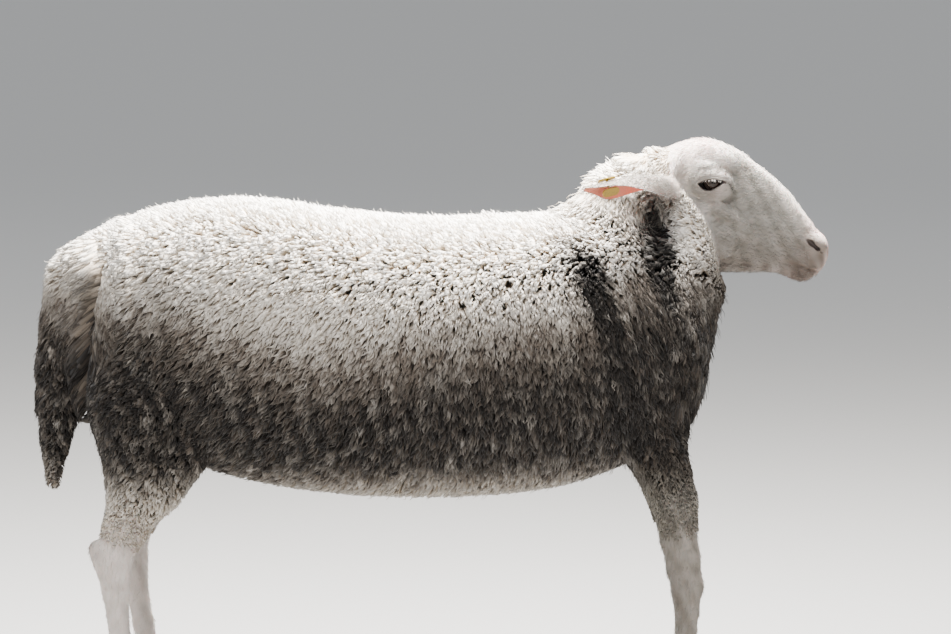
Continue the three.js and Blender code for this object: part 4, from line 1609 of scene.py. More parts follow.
@dataclass
class Skin:
    """The ewe's whole skin, with its folds, lids, lips, nostrils and ears."""

    forms: Forms
    outer: Forms
    nodes: tuple[str, ...] = ("trunk", "neck", "head", "tail", "ear_right", "ear_left") + tuple(
        f"leg_{place}_{hand}" for place in LEGS for hand in NAMES.values()
    )
    short_wool: tuple[float, float] = (14 * MM, 24 * MM)  # coat depths with no wool and full wool
    ear_blush: tuple[float, float] = (0.22, 0.52)  # at the ear's root and tip
    ear_glow: float = 0.85  # how far the ear's hollow glows

    def shape(self) -> Body:
        """The surface of the skin's field, without the ears' shells."""
        points, triangles = net(GRID, self.forms.on_grid(GRID))
        return Body(self.forms.settle(points, rounds=2), triangles)

    def rims_and_shade(self, points: Array) -> Array:
        """How dark the skin is at the openings of the face, with painted shade in its hollows.

        Args:
            points: Places on the skin.

        Returns:
            Up to 1 on the lids' edges, in the eye's inner corner and tear groove, and as painted
            shade all over the slit's inside and in the nostrils.
        """
        t, n = HEAD.into(points[:, 0], points[:, 2])
        side = np.abs(points[:, 1])
        # dark lid edges, and painted shade over the whole inside of the slit
        rim = ramp(-LIDS.opening(t, n), -2.5 * MM, -0.9 * MM)
        inner = np.array(LIDS.inner)
        run = unit(inner - np.array(LIDS.outer))
        corner = np.hypot((t - inner[0] - 2 * MM * run[0]), (n - inner[1]))
        rim = np.maximum(rim, bell(corner, 2.6 * MM))
        rim = np.maximum(rim, 0.95 * near_line(TEAR_LINE, 1.6 * MM, t, n) / (2.4 * MM))
        # painted shade inside the nostrils
        nostril = ramp(-NOSTRIL(t, side, n), -1.0 * MM, 0.1 * MM) * (t > 185 * MM)
        return np.maximum(rim * ramp(side, 29 * MM, 35 * MM), nostril)

    def dressed(self, body: Body) -> Body:
        """A body with the values that its material reads.

        Args:
            body: A stretch of skin.

        Returns:
            It, with its markings, how woolly it is, its dark rims with the painted shade in the
            face's openings, and the lie of its hair.
        """
        body.values = {
            **markings(body.points),
            "wool": ramp(-self.outer.at(body.points), *self.short_wool),
            "rim": self.rims_and_shade(body.points),
            "flow": lie(body.points, body.normals()),
        }
        return body

    def ear(self, side: int) -> Body:
        """An ear's shell, dressed.

        Args:
            side: RIGHT or LEFT.

        Returns:
            The shell, without wool, redder towards its tip and glowing in its hollow.
        """
        points, triangles, hollow, share = Ear(side).shell()
        shell = self.dressed(Body(points, triangles))
        root, tip = self.ear_blush
        shell.values["wool"] = np.zeros(len(points))
        shell.values["blush"] = root + (tip - root) * share
        shell.values["hollow"] = self.ear_glow * hollow
        return shell

    def build(self, body: Body) -> None:
        """Makes the piece from the skin's surface and the ears."""
        whole = Body.together([self.dressed(body)] + [self.ear(side) for side in NAMES])
        nodes = [name for name in self.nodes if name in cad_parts]
        whole.piece("skin", SkinFinish().material(), "hair", nodes)


# ---- coat


@dataclass
class Roots:
    """Places on the skin where tufts grow, with what the skin and the coat are like there."""

    points: Array
    normals: Array
    depth: Array  # how far inside the coat's outer surface
    way: Array | None = None  # which way the coat lies, where that isn't as lie() has it

    @classmethod
    def sown(cls, body: Body, depth: Array, room: Array, seed: int) -> "Roots":
        """Roots spread evenly over the coat's outer surface.

        The running total of area over room, triangle by triangle, is stepped through evenly,
        and each step's root is at a random place in the triangle it falls in.

        Args:
            body: The skin.
            depth: The coat's depth at its points.
            room: The area of outer surface for each tuft there.
            seed: Seed of the places.

        Returns:
            The roots, weighted from their triangle's corners.
        """
        rng = np.random.default_rng(seed)
        normals = body.normals()
        outer = body.points + normals * depth[:, None]
        a, b, c = (outer[corner] for corner in body.triangles.T)
        area = np.linalg.norm(np.cross(b - a, c - a), axis=1) / 2
        share = (area[:, None] / room[body.triangles]).mean(1)
        total = np.cumsum(share)
        steps = np.arange(int(total[-1])) + rng.uniform(0, 1, int(total[-1]))
        chosen = body.triangles[np.minimum(np.searchsorted(total, steps), len(total) - 1)]
        u, v = np.sqrt(rng.uniform(size=len(steps))), rng.uniform(size=len(steps))
        weights = np.stack([1 - u, u * (1 - v), u * v], 1)[:, :, None]
        columns = (body.points, normals, depth[:, None])
        points, ways, deep = ((values[chosen] * weights).sum(1) for values in columns)
        return cls(points, unit(ways), deep[:, 0])

    def beside_openings(self) -> "Roots":
        """Leaves out the roots in the face's openings.

        Returns:
            Those not in the slits of eyes, nostrils and lips or on the bare nose.
        """
        t, n = HEAD.into(self.points[:, 0], self.points[:, 2])
        side = np.abs(self.points[:, 1])
        eye = (LIDS.opening(t, n) < 2.4 * MM) & (side > 28 * MM)
        nostril = NOSTRIL(t, side, n) < 2.5 * MM
        lips = (np.abs(mouth_height(t, n)) < 3 * MM) & (t > MOUTH["back"])
        bald = (t > 214 * MM) & (n > -24 * MM)
        return self.only(~(eye | nostril | lips | bald))

    def only(self, kept: Array) -> "Roots":
        """The roots that a mask keeps."""
        way = None if self.way is None else self.way[kept]
        return Roots(self.points[kept], self.normals[kept], self.depth[kept], way)

    @classmethod
    def together(cls, parts: Sequence["Roots"]) -> "Roots":
        """Several sets of roots as one."""
        ways = [lie(r.points, r.normals) if r.way is None else r.way for r in parts]
        columns = zip(*((r.points, r.normals, r.depth, way) for r, way in zip(parts, ways)))
        return cls(*(np.concatenate(column) for column in columns))


def tapered(rings: int) -> tuple[Array, Array, Array]:
    """The triangles of a three-sided tuft that ends in a point.

    Args:
        rings: How many rings of three points it has.

    Returns:
        The triangles, and each corner's share round the tuft and its ring.
    """
    triangles, around, ring = [(0, 2, 1)], [(0, 0.66, 0.33)], [(0, 0, -0.5)]
    for i in range(rings):
        for k in range(3):
            a, b = 3 * i + k, 3 * i + (k + 1) % 3
            left, right = k / 3, (k + 1) / 3
            if i == rings - 1:
                triangles += [(a, b, 3 * rings)]
                around += [(left, right, (left + right) / 2)]
                ring += [(i, i, i + 1)]
            else:
                triangles += [(a, b, b + 3), (a, b + 3, a + 3)]
                around += [(left, right, right), (left, right, left)]
                ring += [(i, i, i + 1), (i, i + 1, i + 1)]
    return np.array(triangles), np.array(around), np.array(ring)


def tufts(
    middles: Array, out: Array, radii: Array, flatness: float, spot_on_map: Array, seed: int
) -> Body:
    """Closed three-sided tufts along lines of points, the last of which are their tips.

    Args:
        middles: Each tuft's line of points.
        out: Which way its flat side faces.
        radii: Its radius at each middle but the last.
        flatness: Its thickness over its width.
        spot_on_map: Its place on the OFBake map.
        seed: Seed of the fibres' offsets.

    Returns:
        One body with the maps OFBake, on which each tuft is a small patch, and Strand, which
        runs once round it and 1 for each centimetre along it.
    """
    count, stations = middles.shape[:2]
    patch, strand_length, offsets = 0.003, 10 * MM, 9
    along = np.gradient(middles, axis=1)
    side = unit(np.cross(out[:, None], along))
    up = unit(np.cross(along, side))
    angle = np.radians([90, 210, 330])[:, None]
    spread = radii[:, :, None, None]
    rings = middles[:, :-1, None] + spread * (
        side[:, :-1, None] * np.cos(angle) + up[:, :-1, None] * np.sin(angle) * flatness
    )
    points = np.concatenate([rings.reshape(count, -1, 3), middles[:, -1:]], 1)
    shape, around, ring = tapered(stations - 1)
    triangles = shape + (np.arange(count) * points.shape[1])[:, None, None]
    length = np.linalg.norm(np.diff(middles, axis=1), axis=2).sum(1) / strand_length
    local = np.stack([around, ring / (stations - 1)], -1)
    baked = spot_on_map[:, None, None] + patch * (local - 0.5)
    offset = np.random.default_rng(seed).uniform(0, offsets, (count, 1, 1, 2))
    strand = offset + local * stacked(1.0, length)[:, None, None]
    maps = {"OFBake": baked.reshape(-1, 2), "Strand": strand.reshape(-1, 2)}
    return Body(points.reshape(-1, 3), triangles.reshape(-1, 3), {}, maps)


def bent(start: Array, leave: Array, end: Array, arrive: Array, shares: Array) -> Array:
    """Cubic curves from their ends and the slopes there.

    Args:
        start, end: Their ends.
        leave, arrive: Their slopes there.
        shares: The shares of the way at which points are wanted.

    Returns:
        Each curve's points there.
    """
    s = shares[None, :, None]
    start, leave, end, arrive = (vector[:, None] for vector in (start, leave, end, arrive))
    curve = (1 + 2 * s) * (1 - s) ** 2 * start + s * (1 - s) ** 2 * leave
    return curve + s * s * (3 - 2 * s) * end + s * s * (s - 1) * arrive


def fitted(a: Array, b: Array) -> Array:
    """Two coordinates as places on a map, each stretched to run from 0.02 to 0.98."""
    spans = ((values, values.min(), values.max()) for values in (a, b))
    return stacked(*(0.02 + 0.96 * (v - low) / max(high - low, 1e-9) for v, low, high in spans))


def round_body(points: Array) -> Array:
    """The skin unwrapped round a line along the body, which rises into the neck.

    Args:
        points: Places on the skin.

    Returns:
        The angle round the line, from its top or bottom, where most of the piece lies, and the
        place along it.
    """
    up = points[:, 2] - 0.57 - 0.13 * ramp(points[:, 0], 0.24, 0.40)
    angle = np.arctan2(points[:, 1], up * np.sign(up.mean()))
    return fitted(angle, points[:, 0])


def round_legs(points: Array) -> Array:
    """The legs unwrapped side by side.

    Args:
        points: Places on the legs.

    Returns:
        The angle round each leg, one leg after another, and the height.
    """
    front, left = points[:, 0] > 0, points[:, 1] > 0
    angle = np.arctan2(points[:, 0] - np.where(front, 0.34, -0.44), np.abs(points[:, 1]) - 0.093)
    return fitted(angle / (2.02 * np.pi) + 2 * front + left, points[:, 2])


def round_tail(points: Array) -> Array:
    """The tail unwrapped: the angle round it and the height."""
    return fitted(np.arctan2(points[:, 1], points[:, 0] + 0.515), points[:, 2])


class Region(Enum):
    """The pieces that the fleece is made in, and how the skin under each is unwrapped."""

    BACK = ("fleece_back", round_body)
    RUMP_RIGHT = ("fleece_rump_right", round_body)
    RUMP_LEFT = ("fleece_rump_left", round_body)
    FLANK_RIGHT_REAR = ("fleece_flank_right_rear", round_body)
    FLANK_RIGHT_FORE = ("fleece_flank_right_fore", round_body)
    FLANK_LEFT_REAR = ("fleece_flank_left_rear", round_body)
    FLANK_LEFT_FORE = ("fleece_flank_left_fore", round_body)
    BELLY = ("fleece_belly", round_body)
    NECK_RIGHT = ("fleece_neck_right", round_body)
    NECK_LEFT = ("fleece_neck_left", round_body)
    TAIL = ("fleece_tail", round_tail)
    LEGS = ("fleece_legs", round_legs)

    @classmethod
    def of(cls, points: Array, normals: Array) -> Array:
        """Which region each root belongs to, from the last of the rules that holds.

        Args:
            points: The roots' places.
            normals: The skin's outward directions there.

        Returns:
            The regions' places in the list.
        """
        x, y, z = points.T
        rear, right, facing = x < -0.07, y < 0, normals[:, 2]
        rules = (
            (~rear & ~right, cls.FLANK_LEFT_FORE),
            (rear & ~right, cls.FLANK_LEFT_REAR),
            (~rear & right, cls.FLANK_RIGHT_FORE),
            (rear & right, cls.FLANK_RIGHT_REAR),
            (facing > 0.72, cls.BACK),
            (facing < -0.6, cls.BELLY),
            (x < -0.33, cls.RUMP_LEFT),
            ((x < -0.33) & right, cls.RUMP_RIGHT),
            (x > 0.225, cls.NECK_LEFT),
            ((x > 0.225) & right, cls.NECK_RIGHT),
            ((x < -0.478) & (np.abs(y) < 0.05), cls.TAIL),
            ((z < 0.43) & (np.abs(x + 0.01) > 0.27) & (np.abs(y) > 0.02), cls.LEGS),
        )
        label, order = np.zeros(len(points), int), list(cls)
        for holds, region in rules:
            label[holds] = order.index(region)
        return label


@dataclass(frozen=True)
class Locks:
    """What is known of each lock before it has a shape; shares run from 0 to 1."""

    roots: Roots
    way: Array  # the coat's lie at its root
    top: Array  # how far its root faces up
    crest: Array  # how far it faces straight up
    rear: Array  # how far it faces back
    neck: Array  # how far it stands on the neck
    cheek: Array  # how far it is one of the pale curls behind the cheek
    tuft: Array  # whether it is in the little tuft behind the withers
    stray: Array  # whether it is a stray
    under: Array  # whether it is an under-lock

    @classmethod
    def of(cls, roots: Roots, kind: Array, stray_share: float, under_share: float) -> "Locks":
        """The locks of some roots.

        Args:
            roots: Where they grow.
            kind: A draw from 0 to 1 for each.
            stray_share: Below what draw it is a stray, which are more on the neck's crest.
            under_share: Within what of 1 it is an under-lock.

        Returns:
            The locks.
        """
        x, y, z = roots.points.T
        upward = roots.normals[:, 2]
        top, neck_share = ramp(upward, 0.4, 0.85), ramp(x, 225 * MM, 270 * MM)
        return cls(
            roots,
            way=lie(roots.points, roots.normals),
            top=top,
            crest=ramp(upward, 0.8, 0.98),
            rear=ramp(-roots.normals[:, 0], 0.45, 0.8),
            neck=neck_share,
            cheek=bell(x - 0.358, 0.03) * bell(z - 0.738, 0.05),
            tuft=(np.hypot(x - 92 * MM, y + 6 * MM) < 13 * MM) & (z > 0.6),
            stray=kind < stray_share * (1 + 1.5 * neck_share * top),
            under=kind > 1 - under_share,
        )


@dataclass
class Fleece:
    """The wool: overlapping solid locks whose tips gather into staples.

    Strays are thin locks that end past the others, and under-locks are broad ones that fill the
    gaps. A staple's own draws are how far it stands in, its turn, its lift and its tint.
    """

    roots: Roots
    outer: Forms
    room: float = 21e-6  # outer surface for each lock, in square metres
    stations: tuple[float, ...] = (0.0, 0.55, 0.82, 1.0)  # shares of a lock's length
    profile: tuple[float, ...] = (0.95, 1.05, 0.62)  # its radius at them, but for its tip
    wobble: tuple[float, ...] = (0, 1.5, 2.1, 0.8)  # how far it strays sideways there, in mm
    width: float = 4.9 * MM
    flatness: float = 0.62
    longest: float = 35 * MM
    deepest: float = 46 * MM  # coat deeper than this lies in a crease, where no lock grows
    full_depth: float = 22 * MM  # coat deep enough for locks of the full width
    gathering: float = 0.27  # how far tips are drawn to the middle of their staple
    coarse: float = 10 * MM  # staples on the upper side, rump and neck
    fine: float = 6.5 * MM  # staples on the lower flank
    inset: float = 1.5  # how far under the coat's outer surface tips end, in mm
    least_inset: float = 0.2
    swirl: float = 19  # degrees that staples turn aside from the lie
    lift: float = 13  # degrees that tips stand up from the skin
    stray_share: float = 0.06
    stray_level: tuple[float, float] = (0.5, 4)  # mm past the coat's outer surface
    stray_width: float = 0.3
    under_share: float = 0.38
    under_level: tuple[float, float] = (1.9, 4.0)  # mm inside it
    under_width: float = 2.3
    seed: int = 5

    @classmethod
    def rooms(cls, body: Body, depth: Array) -> Array:
        """The outer surface that each lock is given.

        Args:
            body: The skin.
            depth: The coat's depth at its points.

        Returns:
            An area for each point: less on flanks, neck and short wool, more on belly, legs and
            tail, and no lock in thin hair.
        """
        (x, _, z), facing = body.points.T, body.normals()[:, 2]
        low = ramp(-z, -0.44, -0.38)
        flank = ramp(np.abs(facing), 0.75, 0.4) * ramp(z, 0.42, 0.5)
        neck_side = ramp(x, 0.2, 0.26) * flank
        scale = (1 + 0.9 * ramp(-facing, 0.5, 0.8)) * (1 + 0.7 * low) * (1 - 0.22 * flank)
        scale = scale * (1 - 0.16 * neck_side) * (1 + 0.4 * ramp(-x, 0.48, 0.5))
        bare = (depth < 4 * MM) | bare_face(body.points)
        area = cls.room * scale * np.clip(depth / cls.full_depth, 0.35, 1)
        return np.where(bare, NO_ROOM, area)

    def build(self) -> None:
        """Makes the pieces of all regions."""
        rng, roots = np.random.default_rng(self.seed), self.roots
        kind = rng.uniform(size=len(roots.points))
        locks = Locks.of(roots, kind, self.stray_share, self.under_share)
        tips, draw = self.tips(rng, locks)
        middles, ends = self.lines(rng, locks, tips, draw)
        thickness = self.width / 2 * rng.uniform(0.8, 1.2, len(tips))
        thickness = thickness * np.clip(roots.depth / self.full_depth, 0.3, 1)
        broad = np.where(locks.under, self.under_width, 1)
        kinds = np.where(locks.stray, self.stray_width, broad)
        radii = (thickness * kinds)[:, None] * np.array(self.profile)
        marks = self.marks(rng, locks, tips, draw)
        label = Region.of(roots.points, roots.normals)
        material = WoolFinish().material()
        along = np.append(np.repeat(self.stations[:-1], 3), 1)
        for number, region in enumerate(Region):
            name, unwrap = region.value
            mine = label == number
            places = unwrap(roots.points[mine])
            body = tufts(middles[mine], ends[mine], radii[mine], self.flatness, places, number)
            body.values = {key: np.repeat(value[mine], len(along)) for key, value in marks.items()}
            body.values["along"] = np.tile(along, len(places))
            body.piece(name, material, "fleece")

    def tips(self, rng: Draws, locks: Locks) -> tuple[Array, Array]:
        """Where the locks end.

        Each leans along the lie, is drawn towards the middle of its staple and settles at a
        level of its own, which lies deeper where the coat is deeper than locks are long.

        Args:
            rng: What it draws from.
            locks: The locks.

        Returns:
            The tips, and for each lock its staple's own draws.
        """
        roots, count, neck_share = locks.roots, len(locks.way), locks.neck
        spare = np.maximum(roots.depth - self.longest, 0)
        reach = (0.8 - 0.3 * locks.crest + 0.5 * locks.rear) * (1 + 0.3 * neck_share)
        grown = (roots.depth - spare)[:, None]
        tips = roots.points + grown * (roots.normals + locks.way * reach[:, None])
        tips = self.outer.settle(tips, -2 * MM - spare, 2)
        staple = self.staples(locks, tips)
        members = np.bincount(staple)[:, None]
        draw = rng.normal(size=(len(members), 5))[staple]
        centres = np.stack([np.bincount(staple, axis) for axis in tips.T], 1) / members
        pull = self.gathering * np.where(locks.stray | locks.under, 0.15, 1)
        pull = pull * (0.7 + 0.3 * locks.top - 0.35 * neck_share)
        tips = tips + pull[:, None] * (centres[staple] - tips)
        inset = self.inset + 0.7 * draw[:, 0] + 0.6 * rng.normal(size=count)
        inset = np.maximum(inset, self.least_inset)
        past = rng.uniform(*self.stray_level, count) * (1 + neck_share)
        level = np.where(locks.stray, past, -inset)
        level = np.where(locks.under, -rng.uniform(*self.under_level, count), level)
        level = level + rng.uniform(1, 8, count) * locks.tuft
        level = level * MM * np.clip(roots.depth / (20 * MM), 0.3, 1)
        return self.outer.settle(tips, level - spare, 2), draw

    def lines(self, rng: Draws, locks: Locks, tips: Array, draw: Array) -> tuple[Array, Array]:
        """The lines that the locks follow: cubics that leave the skin and turn along the lie.

        Args:
            rng: What it draws from.
            locks: The locks.
            tips: Where they end.
            draw: Their staples' own draws.

        Returns:
            Each lock's points at the stations, and which way its tip points.
        """
        roots, way, rear = locks.roots, locks.way, locks.rear
        swirl = self.swirl + 22 * locks.top + 6 * locks.neck + 40 * locks.cheek
        swirl = np.radians(swirl) * draw[:, 1] + np.radians(9) * rng.normal(size=len(tips))
        across = np.cross(roots.normals, way)
        turned = way * np.cos(swirl)[:, None] + across * np.sin(swirl)[:, None]
        lift = np.radians(self.lift + 24 * locks.crest - 2 * locks.neck + 7 * draw[:, 2])
        ends = turned * np.cos(lift)[:, None] + roots.normals * np.sin(lift)[:, None]
        length = np.linalg.norm(tips - roots.points, axis=1, keepdims=True)
        straight, along = (0.95 - 0.4 * rear)[:, None], (0.35 + 0.5 * rear)[:, None]
        leave = (roots.normals * straight + turned * along) * length
        middles = bent(roots.points, leave, tips, ends * length * 1.1, np.array(self.stations))
        wobble = MM * rng.normal(size=(*middles.shape[:2], 1)) * np.array(self.wobble)[:, None]
        return middles + wobble * (1 + locks.cheek)[:, None, None] * across[:, None], ends

    def marks(self, rng: Draws, locks: Locks, tips: Array, draw: Array) -> dict[str, Array]:
        """The locks' markings and tints.

        Args:
            rng: What it draws from.
            locks: The locks.
            tips: Where they end.
            draw: Their staples' own draws.

        Returns:
            Each value by name, a share from 0 to 1 for each lock.
        """
        marks, count = markings(tips), len(tips)
        marks["mud"] = np.clip(marks["mud"] * rng.uniform(0.85, 1.2, count), 0, 1)
        marks["dust"] = np.clip(marks["dust"] * rng.uniform(0.8, 1.2, count), 0, 1)
        # under-locks, deep in the fleece, are always a little darker
        marks["dust"] = np.maximum(marks["dust"] * (1 - 0.8 * locks.cheek), 0.12 * locks.under)
        tint = 0.35 + 0.75 * locks.cheek + 0.5 * locks.top + 0.2 * draw[:, 3]
        marks["tint"] = np.clip(tint + 0.12 * rng.normal(size=count), 0, 1)
        return marks

    def staples(self, locks: Locks, tips: Array) -> Array:
        """Gathers the locks into staples, the cells of a cubic lattice bent by noise.

        Args:
            locks: The locks.
            tips: Where they end.

        Returns:
            Which staple each lock belongs to.
        """
        x, z = locks.roots.points[:, 0], tips[:, 2]
        bent_tips = tips + 3.5 * MM * np.stack([Waves(s, 26 * MM)(tips) for s in (21, 22, 23)], 1)
        upper, rump = ramp(z, 0.54, 0.63), ramp(-x, 0.30, 0.36)
        coarse = np.maximum.reduce([locks.top, locks.neck, upper, rump])
        big = coarse > np.random.default_rng(7).uniform(0.3, 0.7, len(tips))
        size = np.where(big, self.coarse, self.fine)[:, None]
        cells = np.floor(bent_tips / size).astype(np.int64)
        key = ((cells[:, 0] * 4099 + cells[:, 1]) * 4099 + cells[:, 2]) * 2 + big
        return np.unique(key, return_inverse=True)[1]


@dataclass
class Nap:
    """Short flat hair: thin closed tufts that lie along the face, the ears and the legs."""

    roots: Roots
    length: float = 6.0 * MM
    width: float = 0.8 * MM
    taper: tuple[float, float] = (1.0, 0.8)
    flatness: float = 0.6
    sunk: float = 0.4 * MM  # how far under the skin a tuft begins
    arch: float = 0.35 * MM  # how far its middle stands up
    parting: float = 0.45  # heights over which hair is the head's, in metres
    seed: int = 9

    @classmethod
    def rooms(cls, body: Body, depth: Array) -> Array:
        """The surface that each tuft is given: less on the head, and no hair in deep wool.

        Args:
            body: The skin.
            depth: The coat's depth at its points.

        Returns:
            An area for each point.
        """
        head = ramp(body.points[:, 2], cls.parting, 0.55)
        woolly = (depth > 10 * MM) & ~bare_face(body.points)
        return np.where(woolly, NO_ROOM, (26 - 16 * head) * 1e-6)

    def build(self) -> None:
        """Makes one piece for the head and ears and one for the legs."""
        material = HairFinish().material()
        on_head = self.roots.points[:, 2] > self.parting
        self.part("hair_head", round_body, self.roots.only(on_head), material)
        self.part("hair_legs", round_legs, self.roots.only(~on_head), material)

    def part(self, name: str, unwrap: Callable, roots: Roots, material: Material) -> None:
        """One piece of hair.

        Args:
            name: The piece's name.
            unwrap: How the skin under it is laid on the map.
            roots: Where it grows.
            material: Its finish.
        """
        rng, count = np.random.default_rng(self.seed), len(roots.points)
        way = unit(roots.way + 0.16 * rng.normal(size=(count, 3)))
        way = unit(in_plane(way, roots.normals))
        length = self.length + 0.7 * np.minimum(roots.depth, 5 * MM)[:, None]
        length = length * rng.uniform(0.7, 1.3, (count, 1))
        lift = 0.14 + 0.10 * np.abs(rng.normal(size=(count, 1)))
        tips = roots.points + length * (way + lift * roots.normals)
        start = roots.points - roots.normals * self.sunk
        middle = start * 0.45 + tips * 0.55 + roots.normals * self.arch
        middles = np.stack([start, middle, tips], 1)
        radii = self.width / 2 * rng.uniform(0.7, 1.2, (count, 1)) * np.array(self.taper)
        places = unwrap(roots.points)
        body = tufts(middles, roots.normals, radii, self.flatness, places, self.seed)
        marks = markings(roots.points)
        marks["tint"] = rng.uniform(0.2, 1, count)
        each = len(body.points) // count
        body.values = {key: np.repeat(value, each) for key, value in marks.items()}
        body.piece(name, material, "hair")


# ---- eyes, tag and feet


@dataclass(frozen=True)
class EyeFinish:
    """A wet dark eye with a level slit for a pupil."""

    name: str = "eye"
    white: Colour = (0.035, 0.026, 0.022)
    iris: Colour = (0.028, 0.014, 0.007)
    ring: Colour = (0.012, 0.008, 0.006)
    pupil: tuple[float, float] = (0.34, 0.15)  # its half sizes, with the iris' radius about 0.8

    def material(self) -> Material:
        """Makes the finish.

        Returns:
            Its material.
        """
        nodes = Nodes(self.name)
        level, upright = nodes.value("level"), nodes.value("upright")
        from_middle = (level * level + upright * upright) ** 0.5
        streaks = nodes.noise(nodes.place(), 0.6 * MM, 2)
        iris = nodes.mix(streaks, self.iris, self.ring)
        colour = nodes.mix(from_middle.ramp(0.80, 0.90), iris, self.white)
        edge = from_middle.ramp(0.70, 0.80) * from_middle.ramp(0.92, 0.82)
        colour = nodes.mix(edge, colour, self.ring)
        wide, high = self.pupil
        pupil = ((level / wide) ** 2.0 + (upright / high) ** 2.0).ramp(1.25, 0.8)
        return nodes.surface(
            Base_Color=nodes.mix(pupil, colour, self.ring),
            Roughness=0.12,
            Coat_Weight=0.25,
            Coat_Roughness=0.04,
            Specular_IOR_Level=0.25,
        )


@dataclass(frozen=True)
class EyePiece:
    """An eyeball with a cornea that bulges, and pale lashes on its upper lid."""

    eye: Eye
    sides: int = 40
    bands: int = 24
    shrink: float = 0.985  # the ball's radius over that of its node
    bulge: float = 0.05
    iris: float = 0.8  # how far from the middle the values level and upright reach 1
    lashes: int = 46
    lash_radius: float = 0.17 * MM
    lash_lengths: tuple[float, float] = (5, 8)  # in mm
    seed: int = 31

    def build(self) -> None:
        """Makes the eyeball, whose rings run from y = -1 to the cornea at y = 1, and lashes."""
        eye, name = self.eye, NAMES[self.eye.side]
        angle = np.linspace(0, np.pi, self.bands + 1)[1:-1, None]
        turn = 2 * np.pi * np.arange(self.sides) / self.sides
        wide, high = np.sin(angle) * np.cos(turn), np.sin(angle) * np.sin(turn)
        rings = stacked(wide, -np.cos(angle), high)[:, ::-1]
        points, triangles = tube(rings, np.array([0, -1.0, 0]), np.array([0, 1.0, 0]))
        size = eye.radius * (self.shrink + self.bulge * ramp(points[:, 1], 0.72, 1.0))
        placed = points * size[:, None] * (1, eye.side, 1) + box(f"eye_{name}").sum(0) / 2
        if eye.side == RIGHT:
            triangles = triangles[:, ::-1]
        front = points[:, 1] > 0
        values = {
            label: np.where(front, points[:, axis] / self.iris, 2.0)
            for label, axis in (("level", 0), ("upright", 2))
        }
        body = Body(placed, triangles, values)
        body.piece(f"eyeball_{name}", EyeFinish().material(), "eye", [f"eye_{name}"])
        self.grow_lashes(name)

    def grow_lashes(self, name: str) -> None:
        """Lashes along the upper lid, hanging out and down.

        Args:
            name: Which eye, for the piece's name.
        """
        eye, rng = self.eye, np.random.default_rng(self.seed)
        outer, inner = np.array(LIDS.outer), np.array(LIDS.inner)
        share = rng.uniform(-0.85, 0.75, self.lashes)
        across = unit(inner - outer)
        spot = (outer + inner) / 2 + share[:, None] * (inner - outer) / 2
        rise = LIDS.upper * (1 - share**2) + 0.8 * MM
        t, n = spot[:, 0] - across[1] * rise, spot[:, 1] + across[0] * rise
        over = (eye.radius + 2.0 * MM) ** 2 - (t - eye.t) ** 2 - (n - eye.n) ** 2
        y = eye.y + np.sqrt(np.maximum(over, 0))
        fan = stacked(0.5 * share + 0.15 * rng.normal(size=self.lashes), 1, -0.35)
        way = unit(HEAD.turn(fan)) * (1, eye.side, 1)
        start = HEAD.place(t, y, n) * (1, eye.side, 1)
        length = rng.uniform(*self.lash_lengths, (self.lashes, 1)) * MM
        middle, tip = start + way * length * 0.5, start + way * length + (0, 0, -0.0022)
        body = tufts(
            np.stack([start - way * 1.5 * MM, middle, tip], 1),
            np.broadcast_to((0.0, 0.0, 1.0), start.shape),
            np.full((self.lashes, 1), self.lash_radius) * np.array([1.0, 0.8]),
            flatness=1.0,
            spot_on_map=fitted(t, rng.uniform(size=self.lashes)),
            seed=5,
        )
        body.values = {"tint": np.full(len(body.points), 0.7)}
        body.piece(f"lashes_{name}", HairFinish(name="lashes").material(), "hair")


@dataclass(frozen=True)
class TagFinish:
    """Yellow plastic, faded and a little scuffed."""

    name: str = "tag"
    yellow: Colour = (0.38, 0.24, 0.004)
    scuffed: Colour = (0.13, 0.10, 0.03)

    def material(self) -> Material:
        """Makes the finish.

        Returns:
            Its material.
        """
        nodes = Nodes(self.name)
        scuffs = nodes.noise(nodes.place(), 3 * MM, 4)
        return nodes.surface(
            Base_Color=nodes.mix(scuffs.ramp(0.5, 0.8), self.yellow, self.scuffed),
            Roughness=scuffs.ramp(0.3, 0.8, 0.32, 0.6),
            Subsurface_Weight=0.05,
            Subsurface_Scale=0.002,
        )


@dataclass(frozen=True)
class Tag:
    """The plain ear tag's two plates, their edges rounded."""

    rounding: float = 0.35 * MM
    welding: float = 0.01 * MM

    def build(self) -> None:
        """Makes both plates from the frame's nodes."""
        material = TagFinish().material()
        for part in ("top", "bottom"):
            node = f"ear_tag_{part}"
            plate = in_scene(f"tag_plate_{part}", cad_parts[node].data.copy())
            plate.data.materials.clear()
            plate.data.materials.append(material)
            plate.modifiers.new("weld", "WELD").merge_threshold = self.welding
            bevel = plate.modifiers.new("round", "BEVEL")
            bevel.width, bevel.segments, bevel.limit_method = self.rounding, 3, "ANGLE"
            on_frame(plate, [node])
            LOG.info("%s", plate.name)


